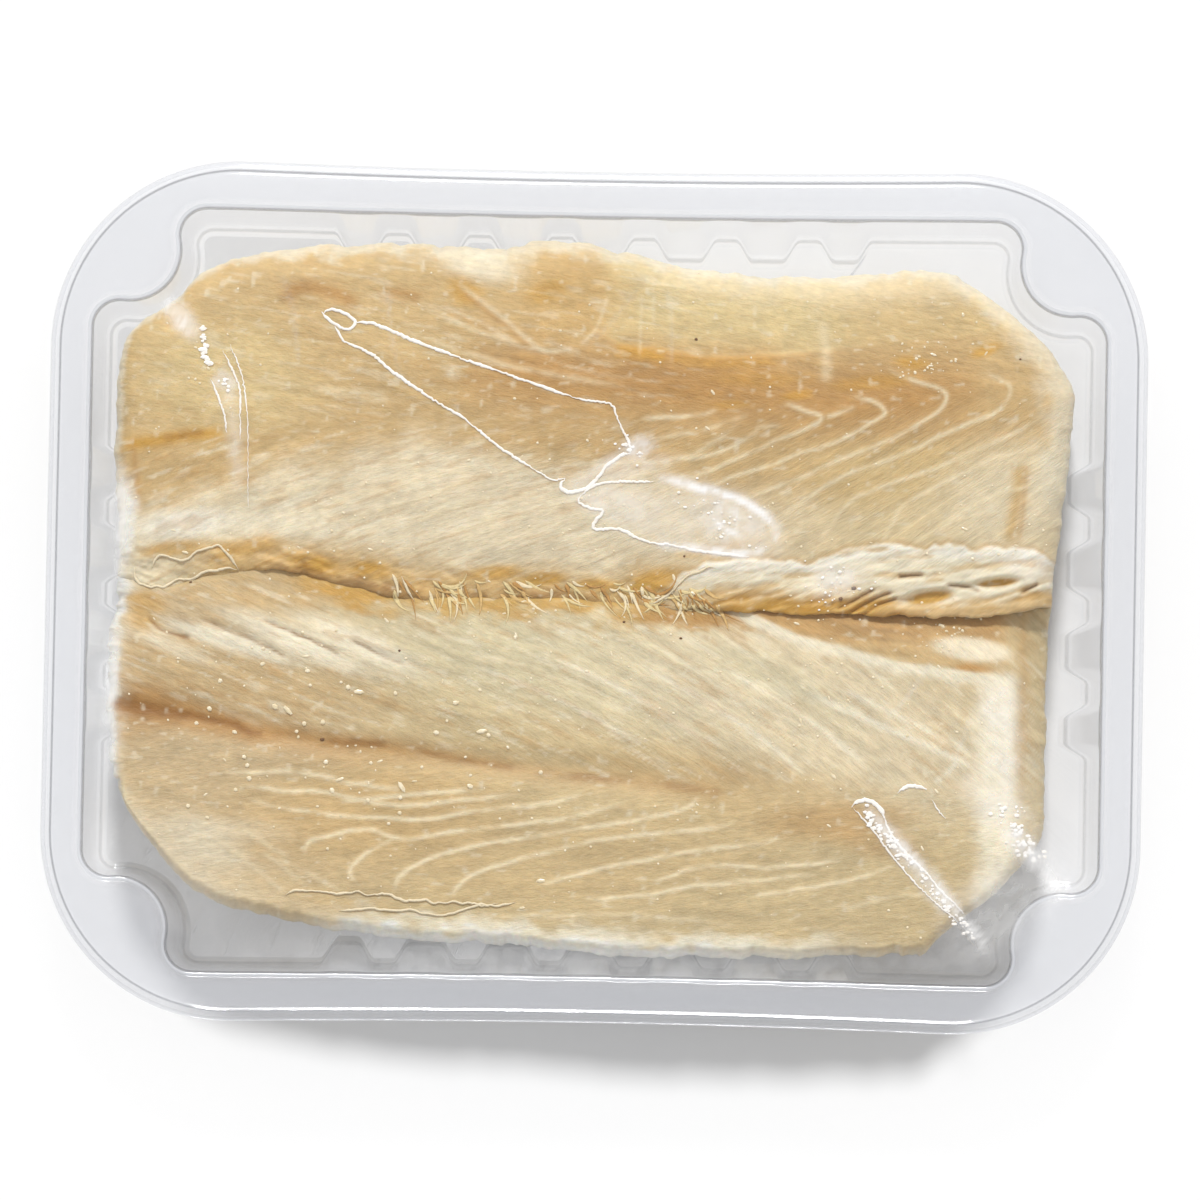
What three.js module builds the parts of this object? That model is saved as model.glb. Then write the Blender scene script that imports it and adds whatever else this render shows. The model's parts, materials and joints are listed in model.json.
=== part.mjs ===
// A sealed tray of salt cod fillets: a clear thermoformed tray, two thick fillets lying
// side by side in it, and the clear film that is sealed to the flange over them.
// Units are millimetres, +Z is up, X is the long side of the tray and Y the short one.
// The origin is the middle of the tray's base, on the surface that the tray stands on.

import * as THREE from 'three';

// Tray: a standard sealing tray
const trayLength = 227;
const trayWidth = 178;
const trayHeight = 25;
const wall = 0.8;
const cornerRadius = 39;
const openingLength = 209.4;
const openingWidth = 157.6;
const outerBow = 1.0;
const openingBow = 0.5;

// Flange, seen in section: a skirt, a sloping lip, a low rim and the flat that carries the film
const skirtHeight = 4;
const lipHeight = 2;
const rimInset = 2;
const rimHeight = 0.35;
const flatInset = 2.8;
const edgeRound = 0.75;

// A lug of the flange reaches into each corner of the opening
const lugInsetX = 16;
const lugInsetY = 18.8;
const lugRadius = 10.8;
const lugBlend = 5.5;

// Side walls: drafted, with flutes between ribs and a plain pocket towards each corner
const wallDraft = 2.2;
const ribDraft = 4.6;
const footRound = 1.2;
const flutePitch = 17.2;
const flutesLong = 6;
const flutesShort = 3;
const ribHalf = 5.7;
const ribShoulder = 4.4;
const ribShoulderShare = 0.8;
const fluteFlat = 1.9;
const pocketLong = 52.5;
const pocketShort = 27.4;

// Fillets: what all of them share
const meshGap = 0.3;
const filletFloor = wall + meshGap;
const filletTop = trayHeight + 0.3;
const alongSteps = 52;
const acrossSteps = 20;
const alongCrowding = 0.55;
const acrossCrowding = 0.7;
const filletLength = 193;
const filletWidth = 72;
const widestHeight = 9.5;
const sideMiddle = 7.5;
const sideMiddleShare = 0.35;
const seamGap = 0.5;
const flakeLayers = 2;
const flakeHeight = 0.55;
const flakeFlank = 0.7;

// Film: a thin sheet on the flange that rises a little over the fish
const filmInset = 3.3;
const filmThickness = 0.3;
const filmRise = 2.5;
const filmReach = 16;
const filmCornerSteps = 9;
const filmShortSide = [0.25, 0.75];
const filmLongSide = [0.72, 0.43, 0.14];
const filmRings = [1, 0.965, 0.925, 0.87, 0.78, 0.62, 0.4, 0.2];

const halfLength = trayLength / 2;
const halfWidth = trayWidth / 2;
const halfOpeningX = openingLength / 2;
const halfOpeningY = openingWidth / 2;
const straightX = halfLength - cornerRadius;
const straightY = halfWidth - cornerRadius;

function smooth(from, to, value) {
  return THREE.MathUtils.smoothstep(value, from, to);
}

// Materials, one for each kind of stuff
function clearPlastic() {
  return new THREE.MeshStandardMaterial({
    color: 0xe8ebee, roughness: 0.12, metalness: 0, transparent: true, opacity: 0.35,
  });
}

function clearFilm() {
  return new THREE.MeshStandardMaterial({
    color: 0xf4f5f6, roughness: 0.06, metalness: 0, transparent: true, opacity: 0.2,
  });
}

function codFlesh(color) {
  return new THREE.MeshStandardMaterial({ color, roughness: 0.42, metalness: 0 });
}

// A closed mesh from rings of equal length, first ring to last, with both ends capped.
// Each ring runs counter-clockwise from above and the last cap faces up.
function closedLoft(rings, firstCap, lastCap) {
  const count = rings[0].length;
  const positions = rings.flat().flat();
  const faces = [];
  for (let ring = 0; ring + 1 < rings.length; ring += 1) {
    for (let i = 0; i < count; i += 1) {
      const next = (i + 1) % count;
      const a = ring * count + i;
      const b = ring * count + next;
      faces.push(a, b, b + count, a, b + count, a + count);
    }
  }
  for (const [p, q, r] of firstCap) {
    faces.push(p, r, q);
  }
  const last = (rings.length - 1) * count;
  for (const [p, q, r] of lastCap) {
    faces.push(last + p, last + q, last + r);
  }
  return indexedGeometry(positions, faces);
}

function indexedGeometry(positions, faces) {
  const geometry = new THREE.BufferGeometry();
  geometry.setAttribute('position', new THREE.Float32BufferAttribute(positions, 3));
  geometry.setIndex(faces);
  geometry.computeVertexNormals();
  return geometry;
}

function flatCap(ring) {
  const outline = ring.map(([x, y]) => new THREE.Vector2(x, y));
  return THREE.ShapeUtils.triangulateShape(outline, []);
}

// Stations along half a side, from its middle outwards: how far the rib stands in there.
// A rib value of 1 is the rib's full depth, 0 is the bottom of a flute or a pocket.
function sideStations(fluteCount, pocketStart) {
  const profile = [
    [-ribHalf, 1], [-ribShoulder, ribShoulderShare], [-fluteFlat, 0],
    [fluteFlat, 0], [ribShoulder, ribShoulderShare], [ribHalf, 1],
  ];
  const stations = [];
  for (let flute = 0; flute < fluteCount; flute += 1) {
    const centre = (flute - (fluteCount - 1) / 2) * flutePitch;
    for (const [offset, rib] of profile) {
      stations.push({ along: centre + offset, rib });
    }
  }
  const pocketOffset = pocketStart + ribHalf;
  for (const [offset, rib] of profile.slice(0, 3)) {
    stations.push({ along: pocketOffset + offset, rib });
  }
  return stations.filter((station) => station.along > 0);
}

// One quarter of the opening, from the middle of the short side round the lug to the
// middle of the long side. Each station has its point, outward normal, rib value and
// the distance travelled from the start.
function quarterStations() {
  const lug = new THREE.Vector2(halfLength - lugInsetX, halfWidth - lugInsetY);
  const reach = lugRadius + lugBlend;
  const sideX = halfOpeningX - lugBlend;
  const sideY = lug.y - Math.sqrt(reach ** 2 - (lug.x - sideX) ** 2);
  const endY = halfOpeningY - lugBlend;
  const endX = lug.x - Math.sqrt(reach ** 2 - (lug.y - endY) ** 2);
  const enter = Math.atan2(lug.y - sideY, lug.x - sideX);
  const leave = Math.atan2(endY - lug.y, endX - lug.x);
  const stations = [];
  const add = (x, y, nx, ny, rib) => stations.push({ x, y, nx, ny, rib });
  const arc = (cx, cy, radius, from, to, steps, side) => {
    for (let i = 0; i < steps; i += 1) {
      const angle = from + (to - from) * i / steps;
      const nx = Math.cos(angle);
      const ny = Math.sin(angle);
      add(cx + radius * nx, cy + radius * ny, side * nx, side * ny, 0);
    }
  };
  for (const { along, rib } of sideStations(flutesShort, pocketShort)) {
    add(halfOpeningX, along, 1, 0, rib);
  }
  add(halfOpeningX, (sideY + pocketShort) / 2 + 2, 1, 0, 0);
  arc(sideX, sideY, lugBlend, 0, enter, 3, 1);
  arc(lug.x, lug.y, lugRadius, enter + Math.PI, leave, 8, -1);
  arc(endX, endY, lugBlend, leave - Math.PI, Math.PI / 2, 3, 1);
  add(endX, halfOpeningY, 0, 1, 0);
  add((endX + pocketLong) / 2 + 2, halfOpeningY, 0, 1, 0);
  for (const { along, rib } of sideStations(flutesLong, pocketLong).reverse()) {
    add(along, halfOpeningY, 0, 1, rib);
  }
  let travelled = stations[0].y;
  stations.forEach((station, i) => {
    const before = stations[Math.max(i - 1, 0)];
    travelled += Math.hypot(station.x - before.x, station.y - before.y);
    station.travelled = travelled;
  });
  return stations;
}

const quarter = quarterStations();
const quarterEnd = quarter.at(-1).travelled + quarter.at(-1).x;

// The long sides are drawn in a little towards their middle by the pull of the film
function bowed(x, y, bow) {
  const share = Math.min(Math.abs(x) / straightX, 1);
  return [x, y - Math.sign(y) * bow * (1 - share ** 2)];
}

// The whole way round, counter-clockwise, from one quarter's point rule
function fullRing(quarterPoint, z, bow) {
  const ring = allQuarters(quarter.map(quarterPoint));
  return ring.map(([x, y]) => [...bowed(x, y, bow), z]);
}

// Mirrors one quarter's points into the other three, counter-clockwise
function allQuarters(points) {
  const back = [...points].reverse();
  return [
    ...points,
    ...back.map(([x, y]) => [-x, y]),
    ...points.map(([x, y]) => [-x, -y]),
    ...back.map(([x, y]) => [x, -y]),
  ];
}

// A ring on the tray's side wall; thickness moves it out to the wall's outer face
function wallRing(z, extraInset, thickness) {
  const share = (trayHeight - z) / trayHeight;
  return fullRing(({ x, y, nx, ny, rib }) => {
    const inset = share * (wallDraft + ribDraft * rib) + extraInset - thickness;
    return [x - nx * inset, y - ny * inset];
  }, z, openingBow);
}

// A point at a given distance round the outer edge, moved inwards by the inset
function outerPoint(travelled, inset) {
  const arcStart = straightY;
  const arcEnd = quarterEnd - straightX;
  if (travelled <= arcStart) {
    return [halfLength - inset, travelled];
  }
  if (travelled >= arcEnd) {
    return [quarterEnd - travelled, halfWidth - inset];
  }
  const angle = Math.PI / 2 * (travelled - arcStart) / (arcEnd - arcStart);
  const radius = cornerRadius - inset;
  return [straightX + radius * Math.cos(angle), straightY + radius * Math.sin(angle)];
}

function flangeRing(inset, z) {
  return fullRing(({ travelled }) => outerPoint(travelled, inset), z, outerBow);
}

// The tray is one shell: under the base, up the outside, round the skirt and rim,
// over the flange, down the inside and across the floor.
function trayGeometry() {
  const top = trayHeight;
  const rings = [
    wallRing(0, footRound, 0),
    wallRing(footRound, 0, wall),
    wallRing(top - wall - edgeRound, 0, wall),
    flangeRing(flatInset, top - wall),
    flangeRing(wall, top - lipHeight - wall / 2),
    flangeRing(wall, top - skirtHeight),
    flangeRing(0, top - skirtHeight),
    flangeRing(0, top - lipHeight),
    flangeRing(rimInset, top + rimHeight),
    flangeRing(flatInset, top),
    wallRing(top, -edgeRound, 0),
    wallRing(top - edgeRound, 0, 0),
    wallRing(wall + footRound, 0, 0),
    wallRing(wall, footRound, 0),
  ];
  return closedLoft(rings, flatCap(rings[0]), flatCap(rings.at(-1)));
}

// Fillet outlines, four edges each, traced at the fillet's widest: left and right run
// up the tray (+Y), far and near run along it (+X).
const seam = [
  [-98, 2.7], [-89, 0.5], [-80, 3], [-66, 5], [-50, 1.6], [-36, -0.6],
  [-8, -0.4], [17, -1.6], [54, -2.2], [80, -2], [92.9, 0.7],
];

const upperEdges = {
  left: [[-98, 2.7], [-98.6, 18], [-99.5, 32], [-98.6, 48], [-96, 54.5]],
  far: [[-96, 54.5], [-90, 58], [-82, 65], [-73, 69], [-54, 71], [-41, 72], [-24, 70], [-9, 73],
    [5, 70], [18, 67.2], [42, 65.8], [71, 67]],
  right: [[92.9, 0.7], [95, 20], [96.4, 36], [95.5, 46], [85, 56.5], [71, 67]],
  near: seam,
};

const lowerEdges = {
  left: [[-97.5, -42], [-100.2, -24], [-99.5, -8], [-98, 2.7]],
  far: seam,
  right: [[68, -72.5], [74, -66], [84, -58.5], [91.5, -49], [91.8, -25], [92.9, 0.7]],
  near: [[-97.5, -42], [-94.5, -47.5], [-87, -56.5], [-81, -62], [-67, -66.3], [-50, -69.3],
    [-23, -71.5], [8, -73.5], [28, -73.8], [50, -73], [68, -72.5]],
};

function splineThrough(points) {
  return new THREE.SplineCurve(points.map(([x, y]) => new THREE.Vector2(x, y)));
}

// A point inside four edges, u along X and v along Y, both from 0 to 1
function patchPoint(curves, u, v) {
  const [left, right] = [curves.left.getPointAt(v), curves.right.getPointAt(v)];
  const [near, far] = [curves.near.getPointAt(u), curves.far.getPointAt(u)];
  const blend = (axis) => {
    const across = (1 - v) * near[axis] + v * far[axis];
    const along = (1 - u) * left[axis] + u * right[axis];
    const low = (1 - u) * curves.near.points[0][axis] + u * curves.near.points.at(-1)[axis];
    const high = (1 - u) * curves.far.points[0][axis] + u * curves.far.points.at(-1)[axis];
    return across + along - (1 - v) * low - v * high;
  };
  return [blend('x'), blend('y')];
}

// Grid lines that crowd towards both ends, where a fillet's shoulder turns down
function crowdedSteps(count, crowding) {
  const steps = [];
  for (let i = 0; i <= count; i += 1) {
    const t = i / count;
    steps.push(t - crowding * Math.sin(2 * Math.PI * t) / (2 * Math.PI));
  }
  return steps;
}

// How far a rounded shoulder has dropped at a distance from the edge
function shoulder(distance, radius, drop) {
  const share = 1 - Math.min(distance / radius, 1);
  return drop * (1 - Math.sqrt(1 - share ** 2));
}

// Height of a polyline's y at x, for creases that run along a fillet
function lineAt(points, x) {
  const after = points.findIndex((point) => point[0] > x);
  if (after === 0) {
    return points[0][1];
  }
  if (after < 0) {
    return points.at(-1)[1];
  }
  const [x0, y0] = points[after - 1];
  const [x1, y1] = points[after];
  return y0 + (y1 - y0) * (x - x0) / (x1 - x0);
}

// Muscle flakes: low sloping steps, one flank long and the other short. The layer value
// grows by one from each muscle layer to the next, and a flake is a few layers wide.
function flakes(layer) {
  const phase = layer / flakeLayers - Math.floor(layer / flakeLayers);
  return flakeHeight * Math.min(phase / flakeFlank, (1 - phase) / (1 - flakeFlank));
}

// The upper fillet's layers are chevrons that point along +X, swept back from a backbone line
const backboneLine = [[-98, 32], [-20, 35.5], [30, 38], [60, 41], [90, 44]];
const chevronPitch = 12.7;
const chevronRound = 1.5;

function upperLayer(x, y) {
  const away = y - lineAt(backboneLine, x);
  const bend = Math.hypot(away, chevronRound);
  const sweep = away < 0 ? 1.1 * bend + 0.035 * bend ** 2 : bend + 0.15 * bend ** 2;
  const spread = 2 - smooth(-60, 40, x);
  return (x + spread * sweep) / chevronPitch;
}

// The lower fillet's layers under its groove are nested hooks, open towards +X
const hookCentre = [-10, -74];
const hookLength = 10;
const hookPitch = 5.3;

function hookLayer(x, y) {
  const left = Math.min(x - hookCentre[0], 0);
  const right = Math.max(x - hookCentre[0], 0);
  const rise = y - hookCentre[1] + 0.3 * left - 0.1 * right;
  return Math.hypot(left / hookLength, rise / hookPitch);
}

// Above the groove they are slanting fibres that fall towards +X
const fibrePitch = 4.5;
const fibreSlope = 0.45;

function fibreLayer(x, y) {
  return (y + fibreSlope * x) / fibrePitch;
}

// The upper fillet's face: crowned across its width, thinned in a layer towards its far
// edge, sloping down to the seam on the left, and with a ragged flap of flesh standing
// along the seam on the right.
const upperCrown = 0.9;
const upperWidth = 60;
const farLoss = 1.4;
const layerDrop = 0.8;
const layerLine = [[-20, 60], [5, 54], [30, 51], [62, 52], [90, 58]];
const seamSlope = 5;
const flapHeight = 1.2;
const flapLine = [[12, -2], [19, 1.5], [33, 7], [45, 9.5], [54, 11], [82, 11.5], [95, 10]];
const thinFrom = 44;

function upperHeight(x, y) {
  const crown = upperCrown * (Math.sin((y + 4) / upperWidth * Math.PI) - 1);
  const thinning = -farLoss * smooth(thinFrom, thinFrom + 28, y);
  const layer = -layerDrop * smooth(-1, 1.5, y - lineAt(layerLine, x)) * smooth(-15, 10, x);
  const slope = -seamSlope * (1 - smooth(1, 12, y)) * (1 - smooth(5, 28, x));
  const flap = flapHeight * (1 - smooth(-2, 2, y - lineAt(flapLine, x))) * smooth(12, 28, x);
  return filletTop + crown + thinning + layer + slope + flap + flakes(upperLayer(x, y));
}

// The lower fillet's face: its seam edge lies in a valley, and from the middle to the
// right it is cut back to a ridge, with bevelled cut faces towards the seam and down the
// right end. A groove runs in from the left, with slanting fibres above it and hooked
// flakes below.
const lowerCrown = 0.7;
const lowerWidth = 74;
const valleyDepth = 5.5;
const bevelDepth = 9;
const ridgeLine = [[10, 6], [27, -0.4], [42, -7.3], [62, -12.4], [83, -15], [95, -17]];
const endRidge = 85;
const endDepth = 8;
const grooveDepth = 1.1;
const grooveHalf = 3;
const grooveLine = [[-97, -24], [-80, -26.2], [-56, -31.3], [-19, -34.8], [34, -39]];

function lowerHeight(x, y) {
  const crown = lowerCrown * (Math.sin(-y / lowerWidth * Math.PI) - 1);
  const valley = -valleyDepth * (1 - smooth(1, 15, lineAt(seam, x) - y));
  const bevel = -bevelDepth * smooth(0, 13, y - lineAt(ridgeLine, x)) * smooth(12, 34, x);
  const end = -endDepth * smooth(endRidge, endRidge + 7.5, x) * smooth(-66, -52, y);
  const fromGroove = y - lineAt(grooveLine, x);
  const groove = -grooveDepth * Math.exp(-((fromGroove / grooveHalf) ** 2)) * (1 - smooth(0, 45, x));
  const above = smooth(-2, 6, fromGroove);
  const fibres = flakes(fibreLayer(x, y)) * above;
  const hooks = flakes(hookLayer(x, y)) * (1 - above);
  return filletTop + crown + Math.min(valley, bevel) + end + groove + fibres + hooks;
}

// One fillet: a height field over its outline, rounded down at each edge to the widest
// line, and under it sides that draw in to a flat bottom as the tray's walls do
function filletGeometry(edges, heightAt, shoulders, insets) {
  const curves = Object.fromEntries(
    Object.entries(edges).map(([side, points]) => [side, splineThrough(points)]),
  );
  const us = crowdedSteps(alongSteps, alongCrowding);
  const vs = crowdedSteps(acrossSteps, acrossCrowding);
  const columns = us.length;
  const positions = [];
  for (const v of vs) {
    for (const u of us) {
      const [x, y] = patchPoint(curves, u, v);
      const drop = shoulder(v * filletWidth, ...shoulders.near)
        + shoulder((1 - v) * filletWidth, ...shoulders.far)
        + shoulder(u * filletLength, ...shoulders.left)
        + shoulder((1 - u) * filletLength, ...shoulders.right);
      positions.push([x, y, Math.max(heightAt(x, y) - drop, widestHeight)]);
    }
  }
  const faces = [];
  for (let row = 0; row + 1 < vs.length; row += 1) {
    for (let column = 0; column + 1 < columns; column += 1) {
      const a = row * columns + column;
      const b = a + columns;
      faces.push(a, a + 1, b + 1, a, b + 1, b);
    }
  }
  const border = borderPlaces(columns, vs.length);
  const lowerRing = (share, z) => border.map(([column, row]) => {
    const [left, right] = [insets.left, insets.right].map((inset) => inset * share / filletLength);
    const [near, far] = [insets.near, insets.far].map((inset) => inset * share / filletWidth);
    const u = THREE.MathUtils.lerp(left, 1 - right, us[column]);
    const v = THREE.MathUtils.lerp(near, 1 - far, vs[row]);
    positions.push([...patchPoint(curves, u, v), z]);
    return positions.length - 1;
  });
  const rings = [
    border.map(([column, row]) => row * columns + column),
    lowerRing(sideMiddleShare, sideMiddle),
    lowerRing(1, filletFloor),
  ];
  for (let ring = 0; ring + 1 < rings.length; ring += 1) {
    const [above, below] = [rings[ring], rings[ring + 1]];
    for (let i = 0; i < border.length; i += 1) {
      const next = (i + 1) % border.length;
      faces.push(below[i], below[next], above[next], below[i], above[next], above[i]);
    }
  }
  const bottom = rings.at(-1);
  for (const [p, q, r] of flatCap(bottom.map((index) => positions[index]))) {
    faces.push(bottom[p], bottom[r], bottom[q]);
  }
  return indexedGeometry(positions.flat(), faces);
}

// The grid's border as [column, row], counter-clockwise from its near left corner
function borderPlaces(columns, rows) {
  const places = [];
  for (let column = 0; column < columns - 1; column += 1) {
    places.push([column, 0]);
  }
  for (let row = 0; row < rows - 1; row += 1) {
    places.push([columns - 1, row]);
  }
  for (let column = columns - 1; column > 0; column -= 1) {
    places.push([column, rows - 1]);
  }
  for (let row = rows - 1; row > 0; row -= 1) {
    places.push([0, row]);
  }
  return places;
}

// Film height over the tray: flat on the flange and the lugs, a low swell over the fish
function filmHeight(x, y) {
  const inside = Math.min(halfOpeningX - Math.abs(x), halfOpeningY - openingBow - Math.abs(y));
  const lugX = halfLength - lugInsetX;
  const lugY = halfWidth - lugInsetY;
  const fromLug = Math.hypot(Math.abs(x) - lugX, Math.abs(y) - lugY) - lugRadius;
  const rise = smooth(0, filmReach, inside) * smooth(0, filmReach, fromLug);
  return trayHeight + meshGap + filmRise * rise;
}

// The film's edge, just inside the rim
function filmOutline() {
  const radius = cornerRadius - filmInset;
  const points = filmShortSide.map((share) => [halfLength - filmInset, straightY * share]);
  for (let i = 0; i <= filmCornerSteps; i += 1) {
    const angle = Math.PI / 2 * i / filmCornerSteps;
    points.push([straightX + radius * Math.cos(angle), straightY + radius * Math.sin(angle)]);
  }
  for (const share of filmLongSide) {
    points.push([straightX * share, halfWidth - filmInset]);
  }
  return allQuarters(points).map(([x, y]) => bowed(x, y, outerBow));
}

// The film: rings drawn in from its edge, an upper and a lower face, closed at the edge
function filmGeometry() {
  const outline = filmOutline();
  const faceRings = (lift) => filmRings.map((scale) => outline.map(([x, y]) => {
    const [px, py] = [x * scale, y * scale];
    return [px, py, filmHeight(px, py) + lift];
  }));
  const rings = [...faceRings(0).reverse(), ...faceRings(filmThickness)];
  const fan = flatCap(outline);
  return closedLoft(rings, fan, fan);
}

function namedMesh(name, geometry, material) {
  const mesh = new THREE.Mesh(geometry, material);
  mesh.name = name;
  return mesh;
}

// For each edge of a fillet: its shoulder as [radius, drop], and how far its bottom
// draws in. Along the seam the two fillets stand upright, a gap apart.
const upperFillet = {
  edges: upperEdges,
  heightAt: upperHeight,
  shoulders: { near: [3, 2.5], far: [9, 8], left: [6, 6], right: [7, 8] },
  insets: { near: 0, right: 6, far: 8, left: 8 },
  color: 0xdcc493,
  shift: seamGap,
};
const lowerFillet = {
  edges: lowerEdges,
  heightAt: lowerHeight,
  shoulders: { near: [10, 8], far: [4, 1.5], left: [7, 7], right: [4, 3] },
  insets: { near: 8, right: 6, far: 0, left: 8 },
  color: 0xd9c79f,
  shift: -seamGap,
};

function filletMesh(name, { edges, heightAt, shoulders, insets, color, shift }) {
  const geometry = filletGeometry(edges, heightAt, shoulders, insets);
  const mesh = namedMesh(name, geometry, codFlesh(color));
  mesh.position.y = shift;
  return mesh;
}

const dish = new THREE.Group();
dish.add(namedMesh('tray', trayGeometry(), clearPlastic()));
dish.add(filletMesh('fillet_upper', upperFillet));
dish.add(filletMesh('fillet_lower', lowerFillet));
dish.add(namedMesh('film', filmGeometry(), clearFilm()));

export default dish;
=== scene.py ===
"""Looks of a sealed tray of salt cod fillets: clear thermoformed tray, two fillets, clear film.

Lengths are in millimetres in the tray's own frame: X along the tray, Y across it and Z up from
the surface that it stands on. They turn into metres where a mesh, lamp, material or camera is made.
"""

import json
import math

import bpy
import numpy as np
from mathutils import Matrix, Vector
from mathutils.bvhtree import BVHTree

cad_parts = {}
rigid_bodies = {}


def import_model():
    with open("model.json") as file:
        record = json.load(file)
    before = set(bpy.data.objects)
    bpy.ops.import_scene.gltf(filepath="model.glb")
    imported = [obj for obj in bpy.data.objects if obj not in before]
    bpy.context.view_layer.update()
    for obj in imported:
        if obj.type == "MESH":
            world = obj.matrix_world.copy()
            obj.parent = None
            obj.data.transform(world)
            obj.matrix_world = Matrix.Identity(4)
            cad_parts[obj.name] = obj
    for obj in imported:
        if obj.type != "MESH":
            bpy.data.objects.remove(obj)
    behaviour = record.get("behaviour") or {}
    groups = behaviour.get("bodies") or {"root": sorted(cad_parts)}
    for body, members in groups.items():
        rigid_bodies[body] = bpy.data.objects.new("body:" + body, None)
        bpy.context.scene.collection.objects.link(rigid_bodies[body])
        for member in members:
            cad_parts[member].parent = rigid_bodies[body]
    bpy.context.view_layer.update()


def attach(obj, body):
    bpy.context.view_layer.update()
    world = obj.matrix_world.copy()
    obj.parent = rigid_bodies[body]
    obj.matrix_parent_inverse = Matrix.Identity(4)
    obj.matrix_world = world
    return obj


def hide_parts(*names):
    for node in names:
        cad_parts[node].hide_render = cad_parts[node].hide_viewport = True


MM = 0.001

# Tray, as the solid has it
TRAY_LENGTH = 227
TRAY_WIDTH = 178
TRAY_HEIGHT = 25
WALL = 0.8
CORNER_RADIUS = 39
OPENING_LENGTH = 209.4
OPENING_WIDTH = 157.6
OUTER_BOW = 1.0
OPENING_BOW = 0.5
SKIRT_HEIGHT = 4
SKIRT_ROUND = 0.3
LIP_HEIGHT = 2
RIM_INSET = 2
RIM_HEIGHT = 0.35
FLAT_INSET = 2.8
EDGE_ROUND = 0.75
LUG_INSET_X = 16
LUG_INSET_Y = 18.8
LUG_RADIUS = 10.8
LUG_BLEND = 5.5
WALL_DRAFT = 2.2
RIB_DRAFT = 4.6
FOOT_ROUND = 1.2
FLUTE_PITCH = 17.2
FLUTES_LONG = 6
FLUTES_SHORT = 3
RIB_HALF = 5.7
FLUTE_FLAT = 1.9
POCKET_LONG = 52.5
POCKET_SHORT = 27.4
STATION_STEP = 0.6

HALF_LENGTH = TRAY_LENGTH / 2
HALF_WIDTH = TRAY_WIDTH / 2
HALF_OPENING_X = OPENING_LENGTH / 2
HALF_OPENING_Y = OPENING_WIDTH / 2
STRAIGHT_X = HALF_LENGTH - CORNER_RADIUS
STRAIGHT_Y = HALF_WIDTH - CORNER_RADIUS
LUG = (HALF_LENGTH - LUG_INSET_X, HALF_WIDTH - LUG_INSET_Y)

# Fillets, as the solids have them
MESH_GAP = 0.3
FILLET_FLOOR = WALL + MESH_GAP
FILLET_TOP = TRAY_HEIGHT + 0.3
FILLET_LENGTH = 193
FILLET_WIDTH = 72
WIDEST_HEIGHT = 9.5
SIDE_CURVE = 0.73
ALONG_STEPS = 410
ACROSS_STEPS = 190

# Film
FILM_INSET = 3.3
FILM_RISE = 2.5
FILM_REACH = 16
FILM_LIFT = 0.12
FILM_COLUMNS = 330
FILM_STRAIGHT_ROWS = 160
FILM_CORNER_ROWS = 40

# Camera, floor and light, with angles in degrees
TARGET = (1.175, -0.783, 25)
DISTANCE = 2000
TILT_Y = 3.09
TILT_X = 1.045
ROLL = 1.095
LENS = 290.8
SENSOR = 36
CLIP = (100, 10000)
FLOOR_SIZE = 4000
KEY_TILT = 47
KEY_SIZE = 9
KEY_STRENGTH = 2.5
SURROUNDINGS = 0.58

# Relief of the fillets' faces
UPPER_CROWN = 0.9
FAR_THINNING = 1.4
LAYER_STEP = 0.7
SEAM_SLOPE = 1.1
FLAP_LIFT = 0.35
PIT_DEPTH = 1.8
CUT_DEPTH = 0.9
LOWER_CROWN = 0.7
VALLEY_DEPTH = 1.4
BEVEL_DEPTH = 2.4
END_BEVEL_DEPTH = 4.5
GROOVE_DEPTH = 0.9
CREASE_DEPTH = 0.4
RIDGE_HEIGHT = 0.13

# The flesh's grain, in bumps a metre along its fibres and up through them
GRAIN_ALONG = 380.0
GRAIN_UP = 500.0

# Flesh, clear plastics, fibres and salt
FLESH_LIGHT = 0.93
LIGHT_INTO_FLESH = 0.35
LIGHT_REACH = 3
GRAIN_SHADE = 0.13
GRAIN_RELIEF = 0.3
CREASE_RELIEF = 0.2
STRAIGHT_GLOSS = 0.035
GRAZING_GLOSS = 0.4
FRINGE_CLUMPS = 34
SCATTERED_SALT = 760
LARGE_SALT = 46
FRINGE_SPAN = (-41, 26)
FRINGE_LENGTH = (2.5, 8)
LOWEST_SALT = 14
TUBE_SIDES = 6
CURL_STEP = 0.5
AIR_LINE_STEP = 0.45


# Numbers: steps, noise and lines

def smooth(low, high, value):
    share = np.clip((value - low) / (high - low), 0, 1)
    return share * share * (3 - 2 * share)


def between(value, start, full, fading, end):
    """1 from full to fading, and 0 before start and after end."""
    return smooth(start, full, value) * smooth(end, fading, value)


def hashed(column, row, seed):
    """A number from -1 to 1 for each cell of a grid, the same on every run."""
    mixed = (column * 374761393 + row * 668265263 + seed * 2147483629) & 0xFFFFFFFF
    mixed = ((mixed ^ (mixed >> 13)) * 1274126177) & 0xFFFFFFFF
    return ((mixed ^ (mixed >> 16)) & 0xFFFF) / 32767.5 - 1


def noise(x, y, size, seed):
    """Smooth noise from -1 to 1 with bumps about size across. size may be (along x, along y)."""
    size_x, size_y = np.broadcast_to(size, 2)
    x = np.asarray(x, float) / size_x
    y = np.asarray(y, float) / size_y
    column, row = np.floor(x).astype(np.int64), np.floor(y).astype(np.int64)
    across, up = x - column, y - row
    across, up = across * across * (3 - 2 * across), up * up * (3 - 2 * up)
    low = hashed(column, row, seed) * (1 - across) + hashed(column + 1, row, seed) * across
    high = hashed(column, row + 1, seed) * (1 - across) + hashed(column + 1, row + 1, seed) * across
    return low * (1 - up) + high * up


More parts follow.
